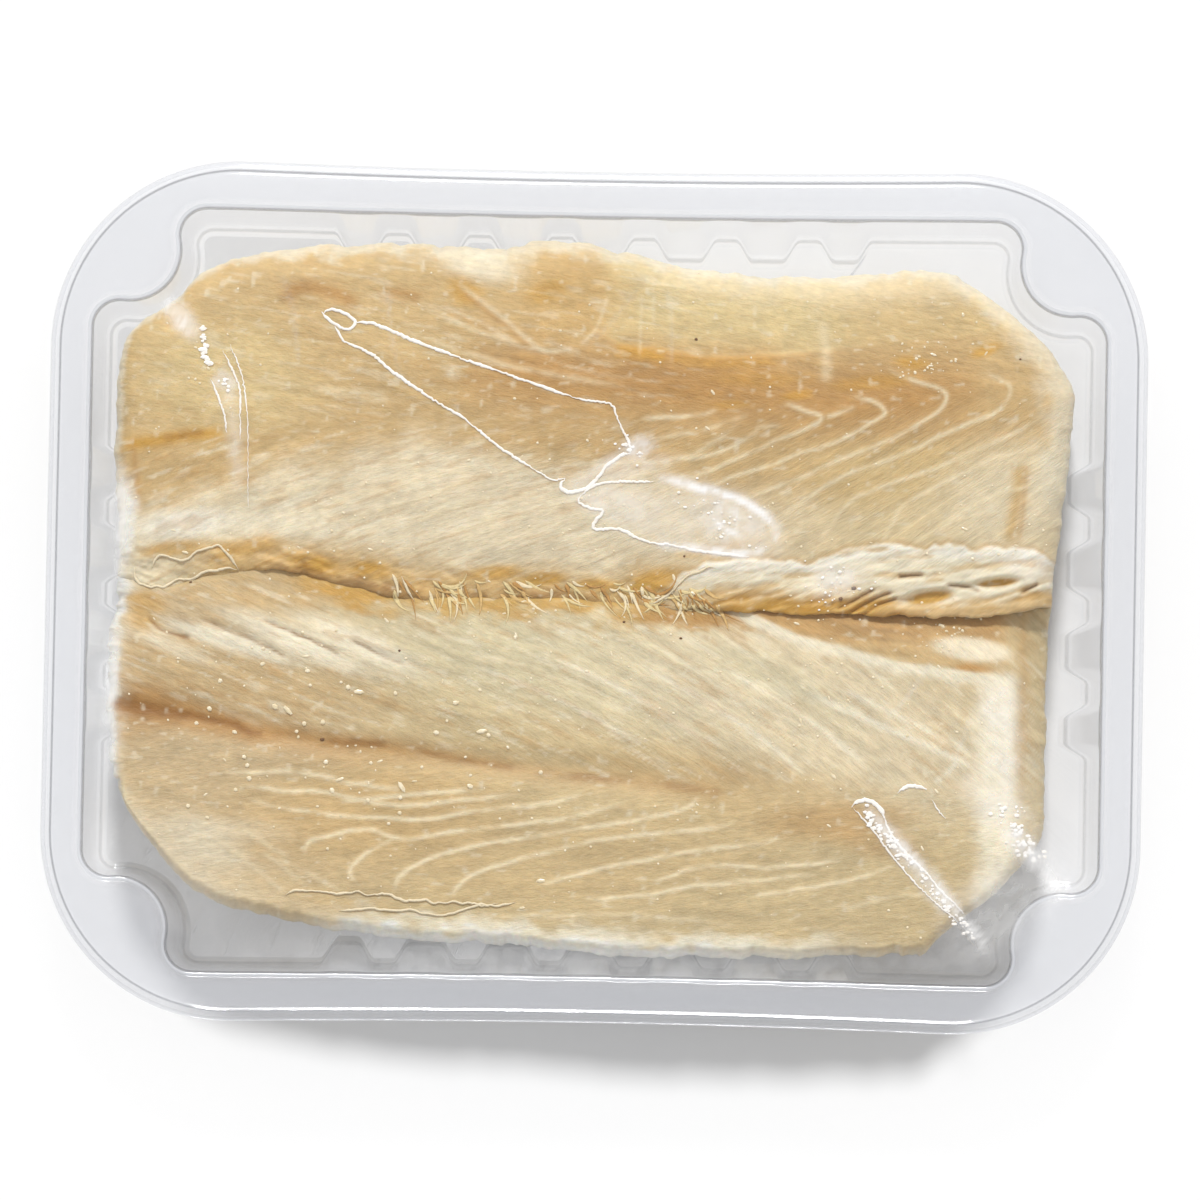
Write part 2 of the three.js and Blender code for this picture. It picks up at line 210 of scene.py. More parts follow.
def cloud(x, y, size, seed, octaves=3):
    """Noise with finer and weaker noise added to it."""
    size_x, size_y = np.broadcast_to(size, 2)
    total, weight = 0, 1
    for octave in range(octaves):
        shrink = 2.1 ** octave
        total = total + weight * noise(x, y, (size_x / shrink, size_y / shrink), seed + octave)
        weight *= 0.5
    return total


def line_at(points, x):
    """Height of a polyline at x."""
    xs, ys = zip(*points)
    return np.interp(x, xs, ys)


def spline(points, steps=40):
    """A smooth curve through the points, as many places along it."""
    p = np.array(points, float)
    padded = np.vstack([p[:1], p, p[-1:]])
    t = np.linspace(0, 1, steps, endpoint=False)[:, None]
    parts = []
    for i in range(len(p) - 1):
        before, start, end, after = padded[i:i + 4]
        leave, arrive = (end - before) / 2, (after - start) / 2
        cubic = 2 * start - 2 * end + leave + arrive
        square = -3 * start + 3 * end - 2 * leave - arrive
        parts.append(cubic * t ** 3 + square * t ** 2 + leave * t + start)
    return np.vstack([*parts, p[-1:]])


def travelled(curve):
    return np.concatenate([[0], np.cumsum(np.linalg.norm(np.diff(curve, axis=0), axis=1))])


def point_at(curve, share):
    """Places on a curve at shares of its length."""
    length = travelled(curve)
    wanted = np.asarray(share) * length[-1]
    return np.stack([np.interp(wanted, length, axis) for axis in curve.T], -1)


def even_places(points, step):
    """Places about a step apart along the smooth line through the points."""
    curve = spline(points, 12)
    return point_at(curve, np.linspace(0, 1, int(travelled(curve)[-1] / step) + 2))


def thin_ends(run, reach, least):
    """1 along a run of places, and less over this many of them at both ends."""
    return np.clip(np.minimum(run, run[::-1]) / reach, least, 1)


def line_distance(x, y, points):
    """Distance from a polyline, and how far along it the nearest place is, from 0 to 1."""
    best = np.full(np.shape(x), 1e9)
    share = np.zeros(np.shape(x))
    last = len(points) - 1
    for index in range(last):
        (x0, y0), (x1, y1) = points[index], points[index + 1]
        dx, dy = x1 - x0, y1 - y0
        along = np.clip(((x - x0) * dx + (y - y0) * dy) / (dx * dx + dy * dy), 0, 1)
        away = np.hypot(x - x0 - along * dx, y - y0 - along * dy)
        nearer = away < best
        best = np.where(nearer, away, best)
        share = np.where(nearer, (index + along) / last, share)
    return best, share


def stroke(x, y, points, half_width, fade=0.15):
    """1 along a smooth line and 0 beside it; it thins out over this share at both its ends."""
    away, share = line_distance(x, y, spline(points, 5))
    ends = np.clip(np.minimum(share, 1 - share) / fade, 0.02, 1) ** 0.5
    return np.exp(-(away / half_width) ** 2) * ends


def strokes(x, y, lines, half_width, fade=0.15):
    return np.max([stroke(x, y, line, half_width, fade) for line in lines], axis=0)


def spot(x, y, centre, half, slope=0.0, soft=0.35):
    """1 inside a slanted ellipse, falling to 0 over its soft rim."""
    turn = math.atan(slope)
    dx, dy = x - centre[0], y - centre[1]
    along = dx * math.cos(turn) + dy * math.sin(turn)
    across = dy * math.cos(turn) - dx * math.sin(turn)
    return 1 - smooth(1 - soft, 1 + soft, np.hypot(along / half[0], across / half[1]))


def srgb(red, green, blue):
    """A colour seen on a screen, 0 to 255, as linear light."""
    c = np.array([red, green, blue]) / 255
    return np.where(c <= 0.04045, c / 12.92, ((c + 0.055) / 1.055) ** 2.4)


# Meshes

def make_piece(name, points, faces, material, tones=None, values=None, rounded=True):
    """A mesh from places in millimetres. tones and values are kept at each place."""
    mesh = bpy.data.meshes.new(name)
    mesh.from_pydata((np.asarray(points, float) * MM).tolist(), [], faces)
    mesh.polygons.foreach_set("use_smooth", np.full(len(mesh.polygons), rounded))
    for key, value in (values or {}).items():
        attribute = mesh.attributes.new(key, "FLOAT", "POINT")
        attribute.data.foreach_set("value", np.asarray(value, np.float32).ravel())
    if tones is not None:
        attribute = mesh.attributes.new("tone", "FLOAT_COLOR", "POINT")
        with_alpha = np.column_stack([tones, np.ones(len(tones))])
        attribute.data.foreach_set("color", with_alpha.astype(np.float32).ravel())
    mesh.materials.append(material)
    piece = bpy.data.objects.new(name, mesh)
    bpy.context.scene.collection.objects.link(piece)
    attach(piece, "root")
    return piece


def ring_faces(count, first, second):
    """Quads between two rings of count places that start at these indices."""
    i = np.arange(count)
    after = (i + 1) % count
    return np.column_stack([first + i, first + after, second + after, second + i]).tolist()


def fan_faces(count, first, centre, upward):
    """Triangles from a ring to one place."""
    pairs = [(first + i, first + (i + 1) % count) for i in range(count)]
    return [[centre, a, b] if upward else [centre, b, a] for a, b in pairs]


def grid_faces(rows, columns):
    index = np.arange(rows * columns).reshape(rows, columns)
    corners = [index[:-1, :-1], index[:-1, 1:], index[1:, 1:], index[1:, :-1]]
    return np.stack(corners, -1).reshape(-1, 4).tolist()


def loft(rings):
    """A closed body through rings of places: its places and faces, capped at both ends."""
    count = len(rings[0])
    points = np.vstack([*rings, rings[0].mean(0)[None], rings[-1].mean(0)[None]])
    faces = []
    for i in range(len(rings) - 1):
        faces.extend(ring_faces(count, i * count, (i + 1) * count))
    last = (len(rings) - 1) * count
    faces.extend(fan_faces(count, 0, len(points) - 2, False))
    faces.extend(fan_faces(count, last, len(points) - 1, True))
    return points, faces


class Joined:
    """Many small shapes gathered into one mesh, each with its own tone."""

    def __init__(self):
        self.points, self.faces, self.tones, self.count = [], [], [], 0

    def add(self, points, faces, tone):
        self.points.append(points)
        self.faces.extend([i + self.count for i in face] for face in faces)
        self.tones.append(np.broadcast_to(tone, (len(points), 3)))
        self.count += len(points)

    def piece(self, name, material, slot, rounded=True):
        points, tones = np.vstack(self.points), np.vstack(self.tones)
        return make_piece(name, points, self.faces, material, tones, rounded=rounded)


def tube(path, half_widths, half_heights):
    """A closed tube along a path, with its own half width and half height at each place."""
    path = np.asarray(path, float)
    heading = np.gradient(path, axis=0)
    flat = np.hypot(heading[:, 0], heading[:, 1]) + 1e-9
    across = np.column_stack([-heading[:, 1] / flat, heading[:, 0] / flat, np.zeros(len(path))])
    turn = np.arange(TUBE_SIDES)[:, None] * 2 * math.pi / TUBE_SIDES
    up = np.array([0, 0, 1.0])
    sections = zip(path, across, half_widths, half_heights)
    return loft([place + np.cos(turn) * side * width - np.sin(turn) * up * height
                 for place, side, width, height in sections])


# Materials

class Shader:
    """Builds the nodes of one material."""

    def __init__(self, name):
        self.material = bpy.data.materials.new(name)
        self.material.use_nodes = True
        self.tree = self.material.node_tree
        self.tree.nodes.clear()

    def add(self, kind, inputs, **settings):
        made = self.tree.nodes.new("ShaderNode" + kind)
        for key, value in settings.items():
            setattr(made, key, value)
        for key, value in inputs.items():
            if isinstance(value, bpy.types.NodeSocket):
                self.tree.links.new(value, made.inputs[key])
            else:
                made.inputs[key].default_value = value
        return made

    def math(self, operation, *values):
        return self.add("Math", dict(enumerate(values)), operation=operation).outputs[0]

    def ramp(self, value, low, high, to_low=0.0, to_high=1.0):
        inputs = {"Value": value, "From Min": low, "From Max": high, "To Min": to_low, "To Max": to_high}
        return self.add("MapRange", inputs).outputs["Result"]

    def mix(self, factor, first, second, blend="MIX"):
        inputs = {0: factor, 6: first, 7: second}
        return self.add("Mix", inputs, data_type="RGBA", blend_type=blend).outputs[2]

    def noise(self, scale, detail=2.0, roughness=0.5, place=None):
        place = place or self.add("TexCoord", {}).outputs["Object"]
        inputs = {"Vector": place, "Scale": scale, "Detail": detail, "Roughness": roughness}
        return self.add("TexNoise", inputs).outputs["Fac"]

    def attribute(self, name, output="Fac"):
        return self.add("Attribute", {}, attribute_name=name).outputs[output]

    def bump(self, height, distance):
        return self.add("Bump", {"Strength": 1.0, "Distance": distance, "Height": height}).outputs[0]

    def finish(self, shader):
        output = self.tree.nodes.new("ShaderNodeOutputMaterial")
        self.tree.links.new(shader, output.inputs["Surface"])
        return self.material


def rgba(color):
    return (*[float(c) for c in color], 1.0)


def fibre_grain(s):
    """Grain along the fibres, which lie in other directions above and below a fillet's middle line."""
    place = s.add("SeparateXYZ", {0: s.add("TexCoord", {}).outputs["Object"]}).outputs
    along = s.math("MULTIPLY", place["X"], GRAIN_ALONG)
    height = s.math("MULTIPLY", place["Z"], GRAIN_UP)

    def grain_in(layer):
        inputs = {"X": along, "Y": s.attribute(layer), "Z": height}
        return s.noise(1.25, 5, 0.7, s.add("CombineXYZ", inputs).outputs[0])

    below = grain_in("layer_below")
    difference = s.math("SUBTRACT", grain_in("layer_above"), below)
    return s.math("ADD", below, s.math("MULTIPLY", difference, s.attribute("above")))


def cod_flesh(name, depth, fibrous):
    """Wet flesh: the painted tone with a fine grain, which shows in its relief too.

    On the fillets the grain follows the fibres, and light goes some way in.
    """
    s = Shader(name)
    grain = fibre_grain(s) if fibrous else s.noise(1200, 4, 0.66)
    light = s.ramp(grain, 0.25, 0.75, 1 - GRAIN_SHADE, 1 + GRAIN_SHADE)
    grey = s.add("CombineColor", {0: light, 1: light, 2: light}).outputs[0]
    base = s.mix(1.0, s.attribute("tone", "Color"), grey, "MULTIPLY")
    inputs = {
        "Base Color": base, "Roughness": s.ramp(grain, 0.3, 0.7, 0.34, 0.5), "IOR": 1.36,
        "Subsurface Weight": depth, "Subsurface Radius": (1.0, 0.65, 0.4),
        "Subsurface Scale": LIGHT_REACH * MM, "Normal": s.bump(grain, GRAIN_RELIEF * MM),
    }
    return s.finish(s.add("BsdfPrincipled", inputs).outputs[0])


def clear_material(name, body_color, edge_haze, tint, roughness, lamp_share):
    """Clear plastic: light goes straight through, but for its haze and its shine.

    The haze comes with the mesh. The shine follows the angle alone, so that it is the same on
    the way in and on the way out. Lamps reach what is behind it.
    """
    s = Shader(name)
    facing = s.add("LayerWeight", {"Blend": 0.5}).outputs["Facing"]
    gloss = s.math("ADD", STRAIGHT_GLOSS, s.math("MULTIPLY", s.math("POWER", facing, 5.0), GRAZING_GLOSS))
    haze = s.math("ADD", s.attribute("veil"), s.math("MULTIPLY", s.math("POWER", facing, 6.0), edge_haze))
    cover = s.math("ADD", haze, s.math("MULTIPLY", gloss, s.math("SUBTRACT", 1.0, haze)))
    share = s.math("DIVIDE", gloss, cover)
    inputs = {"Base Color": body_color(s), "Roughness": 0.4}
    body = s.add("BsdfPrincipled", inputs).outputs[0]
    shine = s.add("BsdfGlossy", {"Color": (1, 1, 1, 1), "Roughness": roughness}).outputs[0]
    solid = s.add("MixShader", {0: share, 1: body, 2: shine}).outputs[0]
    through = s.add("BsdfTransparent", {"Color": rgba(tint)}).outputs[0]
    seen = s.add("MixShader", {0: cover, 1: through, 2: solid}).outputs[0]
    lamps = s.add("BsdfTransparent", {"Color": (lamp_share, lamp_share, lamp_share, 1)}).outputs[0]
    from_lamp = s.add("LightPath", {}).outputs["Is Shadow Ray"]
    return s.finish(s.add("MixShader", {0: from_lamp, 1: seen, 2: lamps}).outputs[0])


def tray_plastic():
    """Clear tray plastic, milky on its flange and grey where its edges are seen end on. Its shade attribute
    mixes in dark grey for painted shade lines along some edges.
    """
    def body_color(s):
        return s.mix(s.attribute("shade"), rgba(srgb(70, 74, 84)), rgba(srgb(208, 210, 217)))

    return clear_material("tray_plastic", body_color, 0.10, (0.98, 0.982, 0.988), 0.08, 0.985)


def lid_film():
    """Clear film, milky where it is creased or where air has whitened it. Its veil also paints glare and
    highlights on the film, and a little painted light over the shaded pockets along the tray's near wall.
    """
    white = rgba(srgb(252, 251, 250))
    return clear_material("lid_film", lambda s: white, 0.0, (0.995, 0.995, 0.994), 0.1, 0.99)


def grained(name, scale, first, second, roughness, ior, relief=0.0):
    """A plain glossy surface whose colour wanders between two."""
    s = Shader(name)
    grain = s.noise(scale, 2)
    inputs = {
        "Base Color": s.mix(s.ramp(grain, 0.3, 0.7), rgba(first), rgba(second)),
        "Roughness": roughness, "IOR": ior,
    }
    if relief:
        inputs["Normal"] = s.bump(grain, relief * MM)
    return s.finish(s.add("BsdfPrincipled", inputs).outputs[0])


# Tray

def rib_value(along, flutes, pocket):
    """How far the wall stands in: 1 on a rib, 0 at the bottom of a flute or a pocket."""
    offset = 1e9
    for flute in range(flutes):
        centre = (flute - (flutes - 1) / 2) * FLUTE_PITCH
        offset = min(offset, abs(along - centre))
    if along > pocket:
        offset = min(offset, max(pocket + RIB_HALF - along, 0))
    return float(smooth(FLUTE_FLAT, RIB_HALF - 0.2, offset))


def quarter_stations():
    """A quarter of the opening, from the short side's middle round the lug to the long side's."""
    reach = LUG_RADIUS + LUG_BLEND
    side_x = HALF_OPENING_X - LUG_BLEND
    side_y = LUG[1] - math.sqrt(reach ** 2 - (LUG[0] - side_x) ** 2)
    end_y = HALF_OPENING_Y - LUG_BLEND
    end_x = LUG[0] - math.sqrt(reach ** 2 - (LUG[1] - end_y) ** 2)
    enter = math.atan2(LUG[1] - side_y, LUG[0] - side_x)
    leave = math.atan2(end_y - LUG[1], end_x - LUG[0])
    rows = []

    def arc(cx, cy, radius, start, end, side):
        steps = max(int(abs(end - start) * radius / STATION_STEP), 8)
        for angle in start + (end - start) * np.arange(steps) / steps:
            nx, ny = math.cos(angle), math.sin(angle)
            rows.append([cx + radius * nx, cy + radius * ny, side * nx, side * ny, 0])

    for along in np.arange(STATION_STEP / 2, side_y, STATION_STEP):
        rows.append([HALF_OPENING_X, along, 1, 0, rib_value(along, FLUTES_SHORT, POCKET_SHORT)])
    arc(side_x, side_y, LUG_BLEND, 0, enter, 1)
    arc(*LUG, LUG_RADIUS, enter + math.pi, leave, -1)
    arc(end_x, end_y, LUG_BLEND, leave - math.pi, math.pi / 2, 1)
    for along in np.arange(end_x, STATION_STEP / 2, -STATION_STEP):
        rows.append([along, HALF_OPENING_Y, 0, 1, rib_value(along, FLUTES_LONG, POCKET_LONG)])
    return np.array(rows)


QUARTER = quarter_stations()
QUARTER_RUN = QUARTER[0, 1] + travelled(QUARTER[:, :2])
QUARTER_END = QUARTER_RUN[-1] + QUARTER[-1, 0]


def all_quarters(points):
    """One quarter's places mirrored into the other three, counter-clockwise."""
    back = points[::-1]
    return np.vstack([points, back * (-1, 1), points * (-1, -1), back * (1, -1)])


def bowed(points, bow):
    """The long sides are drawn in a little towards their middle."""
    share = np.minimum(np.abs(points[:, 0]) / STRAIGHT_X, 1)
    pulled = points[:, 1] - np.sign(points[:, 1]) * bow * (1 - share ** 2)
    return np.column_stack([points[:, 0], pulled])


def wall_ring(z, extra_inset, thickness):
    """A ring on the side wall; thickness moves it out to the wall's outer face."""
    share = (TRAY_HEIGHT - z) / TRAY_HEIGHT
    inset = share * (WALL_DRAFT + RIB_DRAFT * QUARTER[:, 4]) + extra_inset - thickness
    quarter = QUARTER[:, :2] - QUARTER[:, 2:4] * inset[:, None]
    ring = bowed(all_quarters(quarter), OPENING_BOW)
    return np.column_stack([ring, np.full(len(ring), z)])


def flange_ring(inset, z):
    """A ring along the outer edge, moved in by the inset."""
    radius = CORNER_RADIUS - inset
    arc_end = QUARTER_END - STRAIGHT_X
    angle = np.clip((QUARTER_RUN - STRAIGHT_Y) / (arc_end - STRAIGHT_Y), 0, 1) * math.pi / 2
    x = STRAIGHT_X + radius * np.cos(angle) - np.maximum(QUARTER_RUN - arc_end, 0)
    y = STRAIGHT_Y + radius * np.sin(angle) - np.maximum(STRAIGHT_Y - QUARTER_RUN, 0)
    ring = bowed(all_quarters(np.column_stack([x, y])), OUTER_BOW)
    return np.column_stack([ring, np.full(len(ring), z)])


# How milky each band of the tray is, and how light; the dark bands are painted shade lines and the white one
# is a painted highlight line
CLEAR = (0.03, 1.0)
WALL_HAZE = (0.13, 1.0)
MILKY = (0.26, 1.0)
RIM_BAND = (0.24, 1.0)
# painted shade: a dark grey line along the step inside the rim and on the opening's rounded edge
PAINTED_SHADE_LINE = (0.55, 0.15)
# a painted highlight: a milky white line beside the opening's edge
PAINTED_HIGHLIGHT_LINE = (0.6, 1.0)
# painted shade: a grey line along the wall's foot
PAINTED_FOOT_SHADE = (0.3, 0.4)


def tray_section():
    """The shell's section, ring by ring, each with its haze and shade.

    It runs under the base, up the outside, over the flange and down the inside, and its edges are
    rounded by short arcs.
    """
    top, under = TRAY_HEIGHT, TRAY_HEIGHT - WALL
    arcs = np.linspace(0, math.pi / 2, 6)
    section = []

    def add(look, *rings):
        section.extend((ring, look) for ring in rings)

    for a in arcs:
        sine, cosine = math.sin(a), math.cos(a)
        add(CLEAR, wall_ring(FOOT_ROUND * (1 - cosine), FOOT_ROUND * (1 - sine), WALL * sine))
    add(WALL_HAZE, wall_ring(FOOT_ROUND + 2, 0, WALL))
    for a in arcs:
        z = under - EDGE_ROUND * (1 - math.sin(a))
        add(WALL_HAZE, wall_ring(z, -EDGE_ROUND * (1 - math.cos(a)), WALL))
    add(MILKY, wall_ring(under, -EDGE_ROUND - 1, WALL), flange_ring(FLAT_INSET, under))
    add(CLEAR, flange_ring(WALL + 0.3, top - LIP_HEIGHT), flange_ring(WALL, top - LIP_HEIGHT - WALL))
    for a in np.linspace(0, math.pi, 7):
        drop = SKIRT_HEIGHT - SKIRT_ROUND + SKIRT_ROUND * math.sin(a)
        add(RIM_BAND, flange_ring(WALL * (1 + math.cos(a)) / 2, top - drop))
    for a in np.linspace(0, math.pi / 2, 8):
        rise = (LIP_HEIGHT + RIM_HEIGHT) * math.sin(a)
        inset = (RIM_INSET - 0.2) * (1 - math.cos(a)) ** 0.9
        add(RIM_BAND, flange_ring(inset, top - LIP_HEIGHT + rise))
    # Painted shade lines along the step inside the rim.
    add(PAINTED_SHADE_LINE, flange_ring(RIM_INSET, top + RIM_HEIGHT))
    add(PAINTED_SHADE_LINE, flange_ring(RIM_INSET + 0.25, top + RIM_HEIGHT * 0.8))
    add(MILKY, flange_ring(RIM_INSET + 0.45, top + RIM_HEIGHT * 0.4), flange_ring(FLAT_INSET, top))
    add(MILKY, wall_ring(top, -EDGE_ROUND - 0.35, 0))
    # A painted highlight line beside the opening's edge.
    add(PAINTED_HIGHLIGHT_LINE, wall_ring(top, -EDGE_ROUND - 0.15, 0))
    # The opening's rounded edge: a painted highlight line on its first arcs and painted shade on the rest.
    for step, a in enumerate(arcs):
        ring = wall_ring(top - EDGE_ROUND * (1 - math.cos(a)), -EDGE_ROUND * (1 - math.sin(a)), 0)
        add(PAINTED_HIGHLIGHT_LINE if step < 2 else PAINTED_SHADE_LINE, ring)
    add(WALL_HAZE, wall_ring(top - EDGE_ROUND - 0.6, 0, 0), wall_ring(WALL + FOOT_ROUND + 1.5, 0, 0))
    # The wall's foot, with a painted shade line on its first arcs.
    for step, a in enumerate(arcs):
        ring = wall_ring(WALL + FOOT_ROUND * (1 - math.sin(a)), FOOT_ROUND * (1 - math.cos(a)), 0)
        add(PAINTED_FOOT_SHADE if step < 3 else CLEAR, ring)
    return section


def make_tray(material):
    section = tray_section()
    drawn = [(1 - 0.03 * step ** 1.9, CLEAR) for step in (1, 2, 3, 4, 5)]
    under = [(section[0][0] * (share, share, 1), look) for share, look in drawn]
    floor = [(section[-1][0] * (share, share, 1), look) for share, look in drawn]
    whole = [*under[::-1], *section, *floor]
    points, faces = loft([ring for ring, look in whole])
    looks = [look for ring, look in whole for _ in ring] + [CLEAR, CLEAR]
    veil, shade = np.array(looks).T
    values = {"veil": veil, "shade": shade}
    tray = make_piece("clear_tray", points, faces, material, values=values)
    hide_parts("tray")


# Fillets: outlines at the widest, and the lines that the flesh shows

# Where the two fillets meet
SEAM = [
    (-98.6, 2.7), (-89, 0.5), (-80, 3), (-66, 5), (-50, 1.6), (-36, -0.6),
    (-8, -0.4), (17, -1.6), (54, -2.2), (80, -2), (94.3, 0.7),
]
# The far fillet lies over the near one by this much
OVERLAP = 0.7
UPPER_EDGES = {
    "left": [(-98.6, 2.7 - OVERLAP), (-99.2, 18), (-99.9, 32), (-99.2, 48), (-96, 55.5)],
    "far": [(-96, 55.5), (-90, 59.5), (-82, 67), (-73, 70.6), (-54, 72.6), (-41, 73.2), (-24, 72.4),
            (-9, 74.2), (5, 72.2), (18, 69.2), (42, 67.6), (62, 69), (74, 68.6)],
    "right": [(94.3, 0.7 - OVERLAP), (96.4, 20), (98, 36), (97.2, 47), (87.5, 58.5), (74, 68.6)],
    "near": [(x, y - OVERLAP) for x, y in SEAM],
}
LOWER_EDGES = {
    "left": [(-98, -42), (-100.6, -24), (-100, -8), (-98.6, 2.7)],
    "far": SEAM,
    "right": [(69, -72.5), (75, -66.6), (84.6, -59), (90, -52.5), (93.4, -46), (93.6, -25), (94.3, 0.7)],
    "near": [(-98, -42), (-94.5, -47.5), (-87, -56.5), (-81, -62.4), (-67, -66.8), (-50, -69.8),
             (-23, -71.8), (8, -73.5), (28, -73.8), (50, -73.2), (69, -72.5)],
}

# Lines that part the zones of a face: the upper fillet's cream, brown, white flap and thin layer,
# and the lower one's groove and the ridge over its recess
CREAM_TOP = [(-98, 17), (-81, 21), (-65, 29), (-41, 32), (-20, 31), (0, 28), (30, 24), (60, 20), (95, 30)]
BACKBONE = [(-98, 32), (-20, 35.5), (30, 38), (60, 41), (90, 44)]
GROOVE = [(-97, -24), (-80, -26.2), (-56, -31.3), (-19, -34.8), (34, -39)]
FLAP = [
    (12, -1), (16.2, 3.2), (18.3, 5.3), (23.2, 6.8), (29.5, 7.6), (36.5, 8.3), (43.5, 7.2), (48.4, 8.6),
    (51.2, 10.1), (56.8, 10.9), (65.2, 11.4), (75, 11.1), (86.2, 11.4), (89.8, 10.7), (95, 8.7),
]
RIDGE = [(10, 6), (27, -0.4), (42, -7.3), (62, -12.4), (83, -15), (95, -17)]
THIN_LAYER = [(-6, 51.3), (-0.7, 55.5), (4.2, 52.3), (13, 51.3), (24.3, 50), (37.5, 50.8), (90, 57)]

# Edges of the muscle layers, clear ones and faint ones
CHEVRONS = [
    [(37.8, 35.9), (33.3, 35.7), (32.3, 34.2), (25.4, 30.2), (16.9, 28.7), (8, 27.5), (-4, 27)],
    [(38.7, 40.7), (42.2, 39.1), (46.1, 37.9), (44.1, 35.8), (35.4, 32.2), (25.5, 27.2), (14, 23.5)],
    [(52.6, 42.7), (56.9, 41.4), (58.9, 40), (58.6, 38.1), (51.1, 33.5), (41.8, 29.9), (30.4, 25.8),
     (23.7, 23.3)],
    [(59.8, 48.4), (62.3, 46.8), (70.3, 44.2), (71.8, 41.8), (68, 37.7), (55.2, 30.9), (47.3, 27.5),
     (31.5, 20.7), (25.6, 19.8)],
    [(80.1, 47.3), (84.2, 45.9), (85, 43.5), (82.2, 39.5), (77.4, 37.2), (58.7, 28.5), (51.2, 25.6),
     (42.9, 20.5), (38.1, 17.2)],
    [(91.6, 38.1), (83.3, 34), (65.1, 25.8), (55.4, 22.1), (51.3, 19.2), (46.1, 12.2)],
    [(91.7, 32.1), (79.9, 29.1), (67.6, 22.4), (62.8, 18.8), (59, 12.4)],
    [(89.8, 24.4), (81.5, 21.6), (75.2, 18), (69.8, 13.6)],
    [(47.1, 37.7), (50, 38.8), (53, 40.1)],
    [(24.5, 39), (19.2, 37.9), (9, 37)],
]
FAINT_UPPER = [
    [(-72.6, 17.8), (-56.1, 22.3), (-47.8, 23.7)],
    [(-57.6, 17.2), (-47.7, 20.4), (-36.9, 23.1)],
    [(-54.5, 12.4), (-45.6, 16.6), (-36.5, 19.6), (-26.1, 24.1)],
    [(-40.5, 14.2), (-23.8, 19.8), (-15.7, 24.2)],
    [(-27.2, 12.8), (-17.3, 19.1), (-13.4, 21.4)],
    [(-15.5, 13), (-8.9, 17.6), (-5.2, 19.7)],
    [(0, 21), (12, 26), (22, 31), (30, 37)],
    [(-73, 43.5), (-54.2, 41.8), (-43.8, 41.1)],
    [(-60.1, 41.7), (-43.3, 39.3)],
    [(-34, 58), (-22, 53), (-8, 50), (6, 48)],
    [(-40, 54), (-28, 50), (-12, 46), (4, 44)],
    [(66, 12.5), (74, 16.5), (83, 18.5)],
    [(12, 33), (24, 35.5), (31, 38)],
]
HOOKS = [
    [(-51.7, -43.1), (-39.5, -42.1), (-22.8, -40.2)],
    [(-75.9, -37.8), (-60, -37.7), (-50.8, -39.2), (-39.5, -40.7)],
    [(-74.2, -40.6), (-53.8, -41.7), (-39.5, -44.1), (-27.1, -42.7), (-14.6, -41.3)],
    [(-70.1, -43.8), (-53.7, -46), (-36.2, -46.7), (-22.7, -44.7), (-8.3, -42.8), (-2, -41.1)],
    [(-58.9, -54.5), (-58.3, -52.4), (-56.1, -50.9), (-46.5, -48.9), (-39.4, -50.9), (-26.9, -49),
     (-4.1, -45.8), (6.8, -42.6)],
    [(-48.4, -59.6), (-49.3, -57.6), (-47.7, -55.1), (-40.2, -50.9)],
    [(-40, -61.9), (-39.2, -59.2), (-35.2, -55.9), (-25.3, -52.3), (-10.2, -49.6), (5.5, -46.9),
     (18.9, -44), (22.1, -41.3)],
    [(-28, -62.1), (-26.8, -60.1), (-21.7, -56.9), (-10.1, -53.2), (5.5, -50.1), (25.9, -47.3),
     (29.8, -46)],
    [(-10, -59.6), (-2.1, -57.2), (6.4, -55.2), (26, -51.6), (34.3, -50.9), (39.2, -49.4)],
    [(12.8, -58.4), (22, -56.2), (26, -55.3), (41.7, -55), (52.5, -53.2)],
    [(-0.4, -63.1), (11.8, -61.5), (22, -59.7), (46.7, -56.6)],
    [(34.3, -61.5), (46.5, -59.2), (56.7, -57), (62.8, -54.5)],
]
FAINT_LOWER = [
    [(-77.3, -51.5), (-72, -54.7), (-67.4, -58.7), (-62.9, -62.1)],
    [(-67.3, -54.2), (-62.7, -57.4), (-58, -61.2)],
    [(-64.8, -55.4), (-58.6, -57.9), (-51.6, -61.5)],
    [(-72.1, -49), (-67.5, -52), (-61.8, -55.3)],
    [(59.2, -26.8), (64.4, -29.6), (72, -33.9)],
    [(63.4, -22.2), (70.5, -26.2), (76.7, -31.2), (82, -33.8)],
    [(21.4, -20.9), (30.7, -27.9), (40, -34.9)],
    [(43.8, -20.5), (52.1, -26.5), (58.3, -29.4)],
    [(33.6, -18.6), (41.8, -23), (49, -25.5)],
    [(9, -12.9), (21.3, -18.8), (33.7, -26.2), (39.9, -29.8)],
    [(0.9, -15.5), (11.1, -19), (19.4, -23.4)],
    [(-25.7, -12.9), (-11.4, -15.7), (-1.1, -19.2)],
    [(52, -64), (62, -61), (72, -60)],
    [(-20, -66.5), (10, -66), (30, -67.5)],
]
